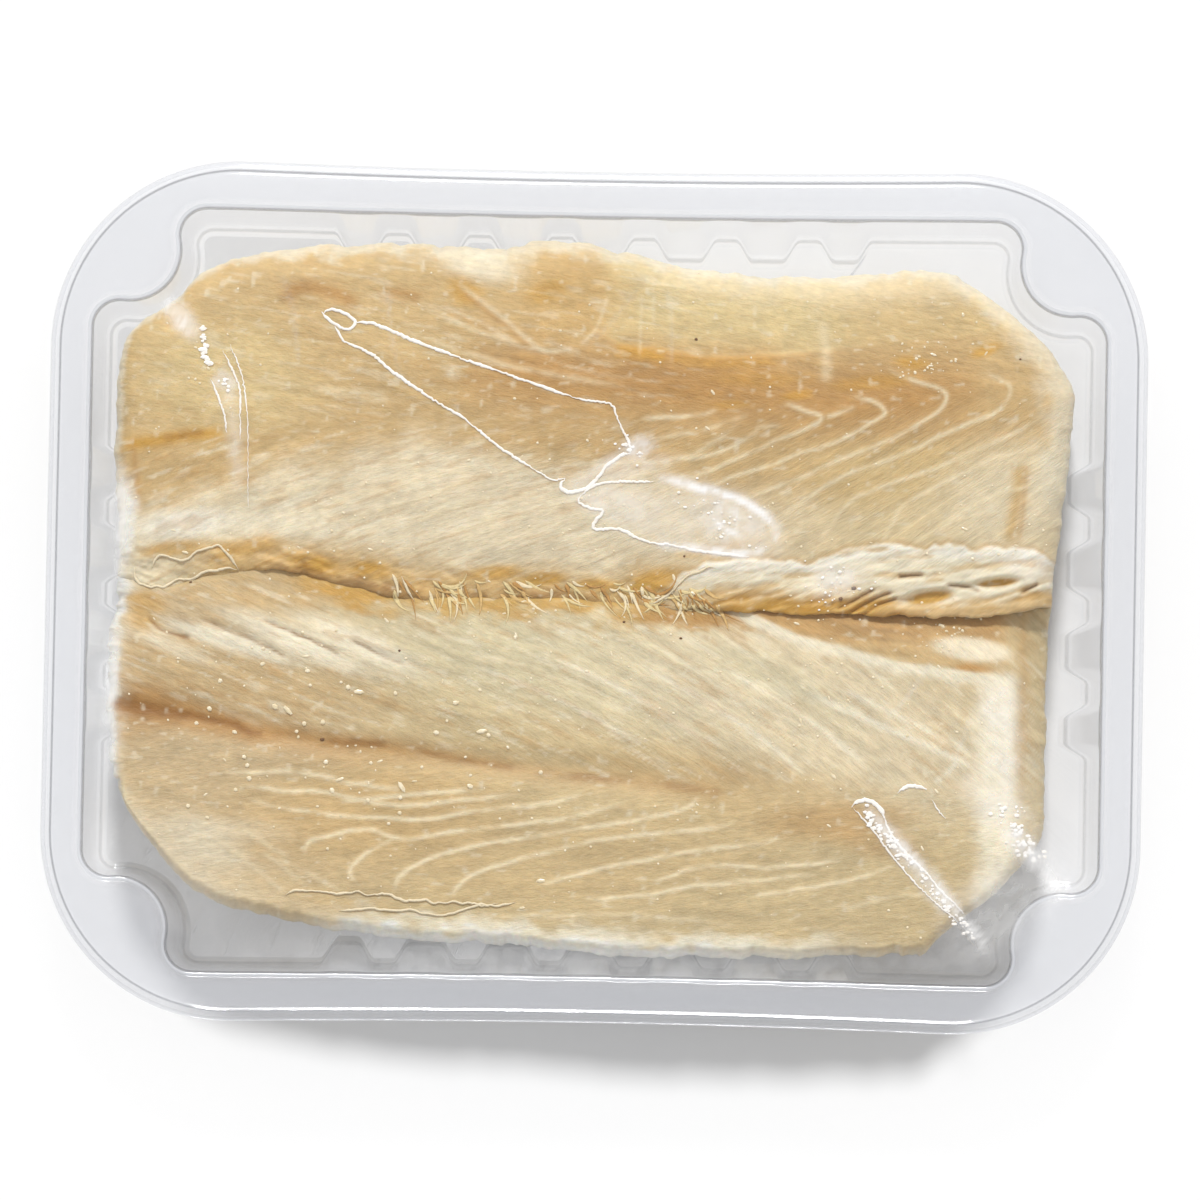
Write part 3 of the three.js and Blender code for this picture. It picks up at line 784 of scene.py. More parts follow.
# Short creases of the lower fillet, the brown streak along its groove, and the flap's pits and cuts
CREASES = [
    [(-81, -6), (-74.5, -8.8), (-68.4, -11.1), (-63.7, -13.7)],
    [(-68.4, -6), (-61.6, -8.8), (-56.5, -10.9), (-52.4, -13.3)],
    [(-50, -10.2), (-44.3, -12.8), (-39.2, -14.7)],
    [(-92, -6.2), (-89.2, -8.4), (-83.1, -10.4)],
]
STREAK = [
    (-98.5, -23.6), (-91.4, -25), (-84.3, -25.9), (-80.2, -26.6), (-74.3, -27.6), (-69.7, -29.5),
    (-61.8, -29.4), (-55.2, -30.9), (-44.4, -31.4), (-32.3, -33.2), (-23.3, -34.7), (-6.9, -36.9),
    (12.5, -38.4), (25.8, -39.8),
]
PITS = [((69.2, 1.0), (5.0, 1.5), 0.16), ((83.2, 4.3), (4.2, 1.0), 0.12)]
CUTS = [
    [(52, -3), (57.2, 0.2), (61.5, 1.9)],
    [(54.4, -3.6), (58.6, -0.8), (62.6, 0.8)],
    [(50, -1.8), (54.6, 0.6), (57.8, 2.6)],
    [(62.5, 5.2), (67.8, 5.6)],
    [(72.5, 3.6), (76.8, 3.3), (79.5, 2.4)],
    [(88, 2.2), (91.5, 4.2)],
]


# Height of the fillets' faces

def shoulder(distance, radius, drop):
    share = 1 - np.clip(distance / radius, 0, 1)
    return drop * (1 - np.sqrt(1 - share ** 2))


def grain_of(along, across, seed):
    """Uneven fibres, long ones and short fine ones, from -1 to 1."""
    across = across + 0.9 * cloud(along, across, 16, seed)
    return (
        0.4 * noise(along, across, (30, 2.6), seed + 4)
        + 0.35 * noise(along, across, (15, 1.4), seed + 5)
        + 0.35 * noise(along, across, (7, 0.8), seed + 6)
    )


def fibre_layer(x, y):
    """Fine fibres of the lower fillet, which fall towards +X, more steeply on the right."""
    return y + 0.38 * x + 0.0022 * np.maximum(x + 20, 0) ** 2


def lower_layers(x, y):
    """Fibres on both sides of the lower fillet's groove, and 1 above it."""
    return fibre_layer(x, y), y - 0.1 * x, smooth(-4, 4, y - line_at(GROOVE, x))


def upper_layers(x, y):
    """Fine fibres of the upper fillet, which fall above its backbone and rise below it."""
    away = y - line_at(BACKBONE, x)
    rise = 0.24 + 0.006 * np.maximum(-away, 0) + 0.004 * np.maximum(x, 0)
    return y + 0.16 * (x + 40), y - rise * (x + 40), smooth(-5, 5, away)


def upper_grain(x, y):
    above, below, share = upper_layers(x, y)
    return grain_of(x, above, 34) * share + grain_of(x, below, 34) * (1 - share)


def flap_share(x, y):
    """1 on the white membrane at the right of the seam, with a ragged edge."""
    ragged = line_at(FLAP, x) + 0.7 * cloud(x, y, (3.4, 6), 11) - y
    return smooth(-0.5, 0.6, ragged) * smooth(12, 22, x)


def flap_folds(x, y):
    """Broad folds of the membrane, and the slanting strands in it."""
    folds = cloud(x + 0.5 * y, y - 0.12 * x, (9, 1.9), 15)
    return folds, noise(x + 2 * y, y - 0.35 * x, (8, 0.9), 64)


def upper_height(x, y, ridges):
    crown = UPPER_CROWN * (np.sin((y + 4) / 60 * math.pi) - 1)
    thinning = -FAR_THINNING * smooth(44, 72, y)
    layer = -LAYER_STEP * smooth(-0.6, 0.6, y - line_at(THIN_LAYER, x)) * between(x, -8, 2, 44, 60)
    slope = -SEAM_SLOPE * (1 - smooth(1, 12, y)) * (1 - smooth(5, 28, x))
    on_flap = flap_share(x, y)
    folds, strands = flap_folds(x, y)
    flap = on_flap * (FLAP_LIFT + 0.2 * folds + 0.22 * strands)
    fibres = 0.13 * upper_grain(x, y) * (1 - on_flap)
    height = FILLET_TOP + crown + thinning + layer + slope + flap + fibres
    for centre, half, lean in PITS:
        height = height - PIT_DEPTH * spot(x, y, centre, half, lean, 0.5)
    height = height - CUT_DEPTH * strokes(x, y, CUTS, 0.42) + RIDGE_HEIGHT * ridges
    torn = (1 - smooth(3, 10, y - line_at(SEAM, x))) * (1 - smooth(10, 26, x))
    lumps = cloud(x + 0.8 * y, y, (4, 2.6), 14) * 0.4
    return height + 0.14 * cloud(x, y, (8, 5), 13) + torn * lumps


def lower_grain(x, y, above, weak):
    """Fibres of the lower fillet, weaker below its groove."""
    low = weak * grain_of(x, y - 0.1 * x, 47)
    return grain_of(x, fibre_layer(x, y), 44) * above + low * (1 - above)


def lower_height(x, y, ridges):
    crown = LOWER_CROWN * (np.sin(-y / 74 * math.pi) - 1)
    valley = -VALLEY_DEPTH * (1 - smooth(1, 13, line_at(SEAM, x) - y))
    valley = valley * (1 - 0.6 * smooth(-62, -74, x)) * (1 - 0.35 * smooth(-42, -34, x))
    from_ridge = y - line_at(RIDGE, x) + 0.6 * noise(x, y, 5, 21)
    bevel = -BEVEL_DEPTH * smooth(0, 12, from_ridge) * smooth(12, 34, x)
    end = -END_BEVEL_DEPTH * smooth(85, 95, x + 0.5 * noise(x, y, 8, 22)) * smooth(-66, -52, y)
    from_groove = y - line_at(GROOVE, x)
    groove = -GROOVE_DEPTH * np.exp(-(from_groove / 3) ** 2) * (1 - smooth(0, 45, x))
    above = smooth(-2, 6, from_groove)
    fibres = 0.16 * lower_grain(x, y, above, 0.4375)
    height = FILLET_TOP + crown + np.minimum(valley, bevel) + end + groove + fibres
    height = height - CREASE_DEPTH * strokes(x, y, CREASES, 0.5) + RIDGE_HEIGHT * ridges
    return height + 0.14 * cloud(x + 0.3 * y, y, (9, 5), 24)


# Tones of the flesh

GOLD = srgb(214, 184, 130)
HONEY = srgb(212, 176, 114)
TAN = srgb(206, 175, 122)
BROWN = srgb(190, 143, 78)
AMBER = srgb(210, 158, 50)
DEEP = srgb(146, 95, 24)
CREAM = srgb(231, 216, 184)
PALE = srgb(241, 231, 205)
WHITE = srgb(247, 244, 234)
GREENISH = srgb(216, 204, 168)
STRAW = srgb(224, 203, 150)
ROSE_TAN = srgb(205, 180, 139)
LINE = srgb(238, 221, 184)
FAWN = srgb(210, 188, 143)


class Paint:
    """The tone of a fillet's face at its places, coat over coat."""

    def __init__(self, x, y, ground):
        self.x, self.y = x, y
        self.tone = np.broadcast_to(ground, (*x.shape, 3)).copy()

    def lay(self, color, mask):
        self.tone = self.tone + (color - self.tone) * np.clip(mask, 0, 1)[..., None]

    def shade(self, light):
        self.tone = self.tone * (1 + light)[..., None]

    def lay_all(self, marks):
        """Soft strokes and spots: each is a colour, a strength, a size and its places."""
        for color, strength, size, places, *lean in marks:
            if isinstance(places, list):
                mask = stroke(self.x, self.y, places, size)
            else:
                mask = spot(self.x, self.y, places, size, lean[0], 0.6)
            self.lay(color, mask * strength)

    def dash(self, across, seed, amount):
        """Short pale and brown dashes along the fibres."""
        self.lay(PALE, smooth(0.35, 0.75, noise(self.x, across, (5, 0.8), seed)) * amount)
        self.lay(BROWN, smooth(0.35, 0.75, noise(self.x, across, (6, 0.9), seed + 1)) * amount * 0.7)

    def mottle(self, rough, fine):
        """Soft blotches, a fine mottle and a few pale flecks."""
        small = noise(self.x, self.y, 1.5, 61) + 0.7 * noise(self.x, self.y, 0.8, 62)
        self.shade(0.03 * rough + 0.045 * fine + 0.04 * small)
        self.lay(PALE, smooth(0.62, 0.9, noise(self.x, self.y, (1.6, 1.0), 63)) * 0.4)
        return self.tone


UPPER_MARKS = [
    (BROWN, 0.85, 8, [(-30, 47), (0, 45), (25, 43), (52, 42), (80, 45)]),
    (BROWN, 0.5, 5, [(4, 50), (20, 47.5), (38, 48.5)]),
    (HONEY, 0.8, (11, 9), (-6, 62), 0.1),
    (GOLD, 0.8, (17, 9), (-42, 58), -0.2),
    (STRAW, 0.6, (18, 12), (-78, 44), -0.1),
    (AMBER, 0.8, 1.4, [(-98, 29.4), (-91.7, 30.4), (-85.6, 31.6), (-77, 32.4)]),
    (DEEP, 0.45, 0.8, [(-90, 30.8), (-85.6, 31.8), (-81, 32.4)]),
    (BROWN, 0.5, 0.8, [(-96, 30), (-95, 22), (-94.5, 15)]),
    (BROWN, 0.8, 1.8, [(-66.1, 59.9), (-61.7, 63), (-55.5, 62), (-50, 59.5)]),
    (BROWN, 0.6, 1.5, [(-46, 61), (-42, 62.2), (-37, 61)]),
    (AMBER, 0.7, (3.5, 2.8), (-28, 63), -0.8),
    (AMBER, 0.5, (4, 2), (-11, 63), 0.4),
    (PALE, 0.75, (8, 3.4), (-25, 68.5), -0.2),
    # Two membrane folds, each a painted shade line under a painted highlight line on its lamp side.
    (BROWN, 0.6, 0.9, [(-29.7, 63.6), (-20.3, 56.8), (-11.9, 50.2), (-5.8, 50.7)]),
    (LINE, 0.6, 0.6, [(-29.7, 64.6), (-20.3, 57.6), (-11.9, 50.9), (-5.8, 51.4)]),
    (BROWN, 0.4, 0.8, [(-32.8, 59.2), (-22.4, 54.6), (-16.2, 50.6)]),
    (LINE, 0.4, 0.5, [(-32.8, 59.7), (-22.4, 55.2), (-16.2, 51.3)]),
    (AMBER, 0.75, 1.5, [(3, 51.2), (9, 50.5), (14, 50)]),
    (AMBER, 0.5, 1.2, [(14, 50), (24, 48.6), (37, 49.4)]),
    (AMBER, 0.75, (3.0, 1.1), (79.8, 52.3), 0.4),
    (AMBER, 0.6, (3.4, 1.3), (64.7, 49.5), -0.1),
    (AMBER, 0.55, (3, 1.0), (41.1, 42.3), 0.15),
    (AMBER, 0.4, (4, 0.9), (27.7, 40), 0.05),
    (AMBER, 0.4, (8, 1.4), (56.5, 45.2), 0.1),
    (AMBER, 0.3, (9, 1.6), (33, 45.5), 0.0),
    (LINE, 0.5, 1.2, [(46, 58), (46.8, 52), (47, 45)]),
    (LINE, 0.45, 0.4, [(1.6, 62.5), (-0.7, 55.5), (-4, 52)]),
    (LINE, 0.4, 0.35, [(8.6, 63), (8.4, 50)]),
    (LINE, 0.35, 0.35, [(10.8, 66), (11.2, 56)]),
    (PALE, 0.6, (20, 3.6), (-78, 13), 0.05),
    (CREAM, 0.8, (14, 11), (86, 22), 0.2),
    (CREAM, 0.6, (27, 8), (10, 17), -0.1),
    (LINE, 0.8, (6.5, 2.4), (-86, 3.6), 0.12), (AMBER, 0.65, (7, 1.5), (-87.5, 8.2), 0.15),
    (WHITE, 0.45, (9, 2.6), (-86, 13.5), 0.1),
    # Amber pockets along the seam among the torn fibres: amber flesh with painted shade in them.
    (AMBER, 0.8, (5, 1.9), (-58, 5.6), -0.25),
    (AMBER, 0.8, (4, 1.7), (-46.5, 4.6), -0.05),
    (AMBER, 0.55, (7, 1.7), (-72, 9), 0.15),
    (AMBER, 0.7, (4.6, 1.3), (-20.5, 4.6), 0.1),
    (AMBER, 0.75, (4.2, 1.2), (-10.5, 3.4), 0.1),
    (AMBER, 0.65, (4.4, 1.1), (0.5, 2.4), 0.0),
    (AMBER, 0.8, (6.4, 2.4), (12, 3.2), 0.35),
    (AMBER, 0.4, (8, 1.2), (24, 10), 0.2),
    (HONEY, 0.8, 1.5, [(87.3, 29), (87, 24), (86.2, 18), (85.2, 12.5)]),
    (BROWN, 0.4, 0.7, [(88.6, 29), (88.4, 24), (88, 18), (87.2, 12.5)]),
]


def paint_upper(x, y, edge, ridges, fine_ridges):
    rough = cloud(x, y, 9, 31)
    fine = cloud(x, y, 3, 32)
    above_seam = y - line_at(SEAM, x)
    left = 1 - smooth(5, 28, x)
    paint = Paint(x, y, TAN)
    paint.lay(GOLD, smooth(42, 54, y + 3 * rough) * 0.6)
    on_layer = smooth(-0.4, 0.4, y - line_at(THIN_LAYER, x)) * smooth(-2, 3, x)
    paint.lay(STRAW, on_layer * (0.85 - 0.55 * smooth(42, 58, x)))
    below = line_at(CREAM_TOP, x) - y
    paint.lay(CREAM, smooth(-4, 7, below + 2.5 * rough) * (0.95 - 0.35 * smooth(0, 30, x)))
    paint.lay(STRAW, smooth(30, 60, x) * smooth(36, 30, y) * 0.35)
    paint.lay_all(UPPER_MARKS)
    paint.shade(0.12 * upper_grain(x, y) * smooth(60, 50, y))
    above, low, share = upper_layers(x, y)
    paint.dash(low, 67, 0.4 * (1 - share) * smooth(30, -10, x))
    paint.dash(above, 67, 0.25 * share * smooth(40, 10, x))
    far = edge["far"] + 1.5 * fine
    paint.lay(CREAM, smooth(14, 2, far) * smooth(0, 18, x) * 0.6)
    paint.lay(PALE, smooth(5, 0.8, far) * 0.75)
    paint.lay(PALE, smooth(9, 2, edge["right"] + 1.5 * fine) * smooth(14, 30, y) * 0.7)
    # A white ragged edge on the left, laid strongly to also paint light on that side, which the lamp lights
    # little.
    paint.lay(WHITE, smooth(5.5, 2, edge["left"] + fine) * between(y, 3, 9, 17, 26))
    paint.lay(PALE, smooth(2.5, 0.5, edge["left"] + 0.6 * fine) * 0.7)
    # Amber on the slope down to the seam, which is partly painted shade for that slope, and painted shade in
    # the crevice at its foot.
    paint.lay(AMBER, smooth(10, 3, above_seam + 2 * rough) * left * smooth(-90, -76, x) * 0.6)
    paint.lay(DEEP, smooth(2.2, 0.3, above_seam + fine) * left * smooth(-72, -60, x) * 0.5)
    flap = flap_share(x, y)
    folds, strands = flap_folds(x, y)
    paint.lay(BROWN, np.clip(flap_share(x, y - 1.1) - flap, 0, 1) * 0.35)
    paint.lay(PALE, flap * 0.9)
    paint.lay(WHITE, flap * smooth(-3.4, -0.6, y - line_at(FLAP, x)) * 0.6)
    paint.lay(HONEY, flap * smooth(-0.2, -0.9, folds) * 0.6)
    paint.lay(HONEY, flap * smooth(-0.1, -0.7, strands) * smooth(8, 3, above_seam) * 0.55)
    # Amber and darker streaks towards the flap's lower edge: amber flesh with painted shade where the flap
    # overhangs.
    paint.lay(AMBER, flap * smooth(5.5, 1.5, above_seam + fine) * smooth(74, 52, x) * 0.6)
    shaded = smooth(0.1, -0.6, strands) * smooth(4.5, 1.5, above_seam) * smooth(80, 60, x)
    paint.lay(DEEP, flap * shaded * 0.5)
    for centre, half, lean in PITS:
        paint.lay(PALE, spot(x, y, centre, (half[0] + 1.2, half[1] + 1.1), lean, 0.3))
        paint.lay(AMBER, spot(x, y, centre, (half[0] * 0.92, half[1] * 0.8), lean, 0.3) * 0.9)
    # Dark brown in the cuts: painted shade in them.
    paint.lay(DEEP, strokes(x, y, CUTS, 0.4) * 0.6)
    # Amber along the seam under the flap, partly painted shade.
    paint.lay(AMBER, smooth(3.4, 0.4, above_seam + 0.8 * fine) * smooth(20, 30, x) * 0.6)
    paint.lay(LINE, fine_ridges * 0.5 * (1 - flap))
    paint.lay(LINE, ridges * 0.85 * (1 - flap))
    return paint.mottle(rough, fine)


LOWER_MARKS = [
    (GREENISH, 0.85, (48, 12), (-5, -14), -0.16),
    (CREAM, 0.75, (44, 16), (50, -24), -0.3),
    (GREENISH, 0.7, (16, 4), (38, -17), -0.5),
    (TAN, 0.5, (30, 6), (35, -40), -0.2),
    (BROWN, 0.4, (14, 3.4), (50, -45.5), 0.1),
    (BROWN, 0.35, (9, 2.6), (59, -50), -0.2),
    (TAN, 0.5, (26, 5), (-72, -19), -0.12),
    (PALE, 1.0, (13.5, 2.0), (-75.5, -10.4), -0.3),
    (PALE, 0.95, (15, 2.5), (-61.5, -10.4), -0.42),
    (PALE, 0.9, (13, 2.8), (-48, -11), -0.42),
    (PALE, 0.5, (9, 1.5), (-87, -12), -0.4),
    (TAN, 0.7, (16, 2.0), (-66, -1.5), 0.0),
    (BROWN, 0.6, (9, 2.6), (-90, -23), -0.12),
    (BROWN, 0.6, (14, 2.8), (-78, -27.5), -0.16),
    (BROWN, 0.4, (16, 2.8), (-50, -33), -0.08),
    (AMBER, 0.5, (4.6, 4.2), (-93.5, -4), -0.6),
    (PALE, 0.6, (9, 4.5), (-80, -52), -0.5),
    (PALE, 0.5, (10, 2.2), (-70, -49.6), -0.05),
    (GOLD, 0.4, (22, 3.4), (-62, -63), -0.2),
    (TAN, 0.4, (40, 9), (-5, -55), 0.1),
    (TAN, 0.9, (26, 10), (-44, -45), 0.05),
    (PALE, 1.0, 0.8, [(44, -19), (59, -25.5), (70, -30), (82, -35)]),
    (PALE, 0.9, 0.7, [(52, -18.5), (64.7, -24.4), (78.7, -31.6)]),
    (PALE, 0.8, 0.6, [(77.9, -31), (70.6, -37.4)]),
    (PALE, 0.9, 0.6, [(10, -14), (22, -20.5), (34, -28), (44, -36)]),
    (PALE, 0.8, 0.5, [(-8, -13), (8, -20), (24, -30)]),
    (PALE, 0.85, 0.6, [(28, -15), (42, -23), (56, -33)]),
    (PALE, 0.7, 0.5, [(-24, -15), (-8, -21), (10, -30)]),
]


def paint_lower(x, y, edge, ridges, fine_ridges):
    rough = cloud(x, y, 10, 41)
    fine = cloud(x + 0.4 * y, y, (4, 2.2), 42)
    below_seam = line_at(SEAM, x) - y
    from_ridge = y - line_at(RIDGE, x)
    paint = Paint(x, y, FAWN)
    paint.lay(ROSE_TAN, smooth(-30, -70, x + 6 * rough) * 0.8)
    paint.lay_all(LOWER_MARKS)
    above = smooth(-3, 4, y - line_at(GROOVE, x))
    paint.shade(0.17 * lower_grain(x, y, above, 0.7))
    paint.dash(fibre_layer(x, y), 69, 0.4 * above)
    # Dark brown in the short creases: painted shade in them.
    paint.lay(DEEP, strokes(x, y + 0.3 * fine, CREASES, 0.3) * (0.7 + 0.3 * rough))
    away, share = line_distance(x, y, spline(STREAK, 4))
    wide = np.interp(x, [-98, -90, -84, -55, 30], [3, 2.2, 1.2, 1.0, 1.1])
    dashes = smooth(-0.5, 0.2, noise(x, y, (6.5, 40), 43)) * 0.8 + 0.2
    dashes = np.where(x < -68, 1, dashes)
    fade = np.interp(x, [-92, -70, -40, 26, 40], [0.95, 0.85, 0.6, 0.35, 0])
    paint.lay(BROWN, np.exp(-(away / (wide * 2)) ** 2) * fade * 0.85)
    paint.lay(DEEP, np.exp(-((away + 0.3 * fine) / (wide * 0.75)) ** 2) * fade * dashes * 0.9)
    paint.lay(TAN, smooth(5, 0.5, below_seam + fine) * between(x, -90, -80, -46, -36) * 0.7)
    # Amber and brown below the seam: flesh colour with painted shade under the torn fibres and the flap's
    # end.
    paint.lay(AMBER, smooth(6, 1, below_seam + 2 * fine) * between(x, -66, -56, 20, 32) * 0.75)
    paint.lay(BROWN, smooth(5.5, 3, below_seam + 1.2 * fine) * between(x, 6, 14, 32, 42) * 0.8)
    recess = smooth(-0.3, 1.2, from_ridge + 0.5 * fine) * between(x, 20, 32, 82, 88)
    layers = noise(x, y + 0.1 * x, (9, 0.9), 65)
    paint.lay(TAN, recess * 0.9)
    # Browner towards the seam and darkest at it: painted shade under the flap's overhang, over the recess's
    # own tan.
    paint.lay(BROWN, recess * smooth(10, 2, below_seam + fine) * 0.65)
    paint.lay(DEEP, smooth(3.0, 0.5, below_seam) * recess * 0.2)
    paint.shade(0.16 * layers * recess)
    piece = spot(x, y, (78, -9.5), (8, 2.4), -0.1, 0.3)
    paint.lay(PALE, piece * 0.8)
    paint.lay(BROWN, spot(x, y, (78.4, -13.6), (3.8, 0.9), -0.1, 0.4) * 0.8)
    ledge = smooth(-3.4, -1.2, from_ridge + 0.5 * fine) * smooth(0.6, -0.4, from_ridge) * smooth(20, 34, x)
    paint.lay(PALE, ledge * smooth(88, 84, x) * 0.9)
    paint.lay(PALE, smooth(77, 82, x + fine) * smooth(89.6, 85.6, x) * smooth(-13, -17, y))
    paint.lay(BROWN, np.exp(-((x - 88.6 + 0.4 * fine) / 1.3) ** 2) * smooth(-46, -30, y) * 0.35)
    paint.lay(LINE, fine_ridges * 0.5)
    paint.lay(LINE, ridges)
    # A pale and white ragged near edge, laid strongly to also paint light on the near side, which lies in the
    # fish's own shade.
    paint.lay(PALE, smooth(7, 2, edge["near"] + 2 * fine) * between(x, -65, -40, 40, 64))
    paint.lay(WHITE, smooth(3, 1, edge["near"] + 1.5 * fine) * between(x, -60, -45, 20, 40))
    paint.lay(PALE, smooth(7, 1, edge["left"] + 2 * fine) * 0.5)
    paint.lay(CREAM, smooth(13, 3, edge["near"] + 2 * fine) * smooth(-50, -80, x) * 0.7)
    paint.lay(WHITE, smooth(3.6, 1, edge["left"] + 0.8 * fine) * smooth(-45, -36, y) * 0.95)
    return paint.mottle(rough, fine)


# Fillet meshes

def crowded(count, crowding):
    t = np.linspace(0, 1, count + 1)
    return t - crowding * np.sin(2 * math.pi * t) / (2 * math.pi)


def patch_points(curves, u, v):
    """Places inside four edge curves: u runs along X and v along Y, from 0 to 1."""
    left, right = point_at(curves["left"], v), point_at(curves["right"], v)
    near, far = point_at(curves["near"], u), point_at(curves["far"], u)
    u, v = u[..., None], v[..., None]
    low = (1 - u) * curves["near"][0] + u * curves["near"][-1]
    high = (1 - u) * curves["far"][0] + u * curves["far"][-1]
    return (1 - v) * near + v * far + (1 - u) * left + u * right - (1 - v) * low - v * high


def tear_edges(x, y, edge, ragged):
    """Small tears and waves that fade out a few millimetres in from each side."""
    outward = {"near": (0, -1), "far": (0, 1), "left": (-1, 0), "right": (1, 0)}
    new_x, new_y = x.copy(), y.copy()
    for seed, (side, (dx, dy)) in enumerate(outward.items()):
        run = x if dy else y
        amount = ragged[side] * smooth(6, 0, edge[side]) * cloud(run, 0 * run, (3.5, 9), 51 + 5 * seed, 4)
        new_x, new_y = new_x + dx * amount, new_y + dy * amount
    return new_x, new_y


def side_rings(curves, u, v, top, insets):
    """Rings down a fillet's side: straight to its widest, then in to the bottom, then across it."""
    rings = []
    for share in (0.25, 0.5, 0.75, 1.0):
        ring = top.copy()
        ring[:, 2] += (WIDEST_HEIGHT - 0.01 - top[:, 2]) * share
        rings.append(ring)
    rag = top[:, :2] - patch_points(curves, u, v)
    for share in (0.12, 0.3, 0.5, 0.7, 0.85, 0.95, 1.0):
        drawn = share ** SIDE_CURVE
        left, right = insets["left"] * drawn / FILLET_LENGTH, insets["right"] * drawn / FILLET_LENGTH
        near, far = insets["near"] * drawn / FILLET_WIDTH, insets["far"] * drawn / FILLET_WIDTH
        place = patch_points(curves, left + (1 - right - left) * u, near + (1 - far - near) * v)
        place = place + rag * (1 - share)
        z = WIDEST_HEIGHT + (FILLET_FLOOR - WIDEST_HEIGHT) * share
        rings.append(np.column_stack([place, np.full(len(u), z)]))
    last = rings[-1]
    middle = last.mean(0)
    return rings + [middle + (last - middle) * (share, share, 1) for share in (0.93, 0.75, 0.45)]


def make_fillet(name, node, shape, material):
    """A fine height field over the fillet's outline, with sides that draw in to a flat bottom."""
    curves = {side: spline(points) for side, points in shape["edges"].items()}
    u, v = np.meshgrid(crowded(ALONG_STEPS, 0.12), crowded(ACROSS_STEPS, 0.25))
    place = patch_points(curves, u, v)
    edge = {
        "near": v * FILLET_WIDTH, "far": (1 - v) * FILLET_WIDTH,
        "left": u * FILLET_LENGTH, "right": (1 - u) * FILLET_LENGTH,
    }
    x, y = tear_edges(place[..., 0], place[..., 1], edge, shape["ragged"])
    wander = 0.35 * cloud(x, y, 7, 71)
    broken = smooth(-0.9, 0.1, cloud(x, y, 4, 72))
    ridges = strokes(x, y + wander, shape["lines"], 0.5) * (0.45 + 0.55 * broken)
    fine_ridges = strokes(x, y + wander, shape["faint"], 0.6) * (0.3 + 0.7 * broken)
    drop = sum(shoulder(edge[side], *shape["shoulders"][side]) for side in edge)
    z = np.maximum(shape["height"](x, y, ridges + 0.5 * fine_ridges) - drop, WIDEST_HEIGHT)
    tone = shape["paint"](x, y, edge, ridges, fine_ridges) * FLESH_LIGHT
    rows, columns = x.shape
    index = np.arange(rows * columns).reshape(rows, columns)
    border = np.concatenate([index[0, :-1], index[:-1, -1], index[-1, :0:-1], index[:0:-1, 0]])
    grid = np.column_stack([x.ravel(), y.ravel(), z.ravel()])
    rings = side_rings(curves, u.ravel()[border], v.ravel()[border], grid[border], shape["insets"])
    faces = grid_faces(rows, columns)
    above, start = border, len(grid)
    for ring in rings:
        here = start + np.arange(len(border))
        faces.extend(np.column_stack([here, np.roll(here, -1), np.roll(above, -1), above]).tolist())
        above, start = here, start + len(border)
    faces.extend(fan_faces(len(border), above[0], start, False))
    points = np.vstack([grid, *rings, rings[-1].mean(0)[None]])
    flat = tone.reshape(-1, 3)
    tones = np.vstack([flat, *[flat[border]] * len(rings), flat[border].mean(0)[None]])
    layers = dict(zip(("layer_above", "layer_below", "above"), shape["layers"](points[:, 0], points[:, 1])))
    fillet = make_piece(name, points, faces, material, tones, layers)
    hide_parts(node)
    return fillet


UPPER = {
    "edges": UPPER_EDGES, "lines": CHEVRONS, "faint": FAINT_UPPER,
    "height": upper_height, "paint": paint_upper, "layers": upper_layers,
    "shoulders": {"near": (1.6, 0.5), "far": (9, 8), "left": (5, 5), "right": (6, 6)},
    "insets": {"near": 0, "right": 6, "far": 8, "left": 8},
    "ragged": {"near": 0.4, "far": 0.5, "left": 0.35, "right": 0.3},
}
LOWER = {
    "edges": LOWER_EDGES, "lines": HOOKS, "faint": FAINT_LOWER,
    "height": lower_height, "paint": paint_lower, "layers": lower_layers,
    "shoulders": {"near": (2.6, 5), "far": (3, 0.7), "left": (5, 6), "right": (4, 3)},
    "insets": {"near": 8, "right": 6, "far": 0, "left": 8},
    "ragged": {"near": 0.55, "far": 0.0, "left": 0.7, "right": 0.35},
}


# Torn fibres, curls and salt

class Ground:
    """Finds the surface of some pieces under a place."""

    def __init__(self, pieces):
        points, faces = [], []
        for piece in pieces:
            start = len(points)
            points.extend(vertex.co for vertex in piece.data.vertices)
            faces.extend([start + i for i in polygon.vertices] for polygon in piece.data.polygons)
        self.tree = BVHTree.FromPolygons(points, faces)

    def height(self, x, y):
        hit = self.tree.ray_cast(Vector((x * MM, y * MM, 1.0)), Vector((0, 0, -1)))
        return 0 if hit[0] is None else hit[0].z / MM

    def path(self, flat, lift):
        """Places on the surface under a flat path, raised by the lift."""
        heights = np.array([self.height(*place) for place in flat])
        return np.column_stack([flat, heights + lift])


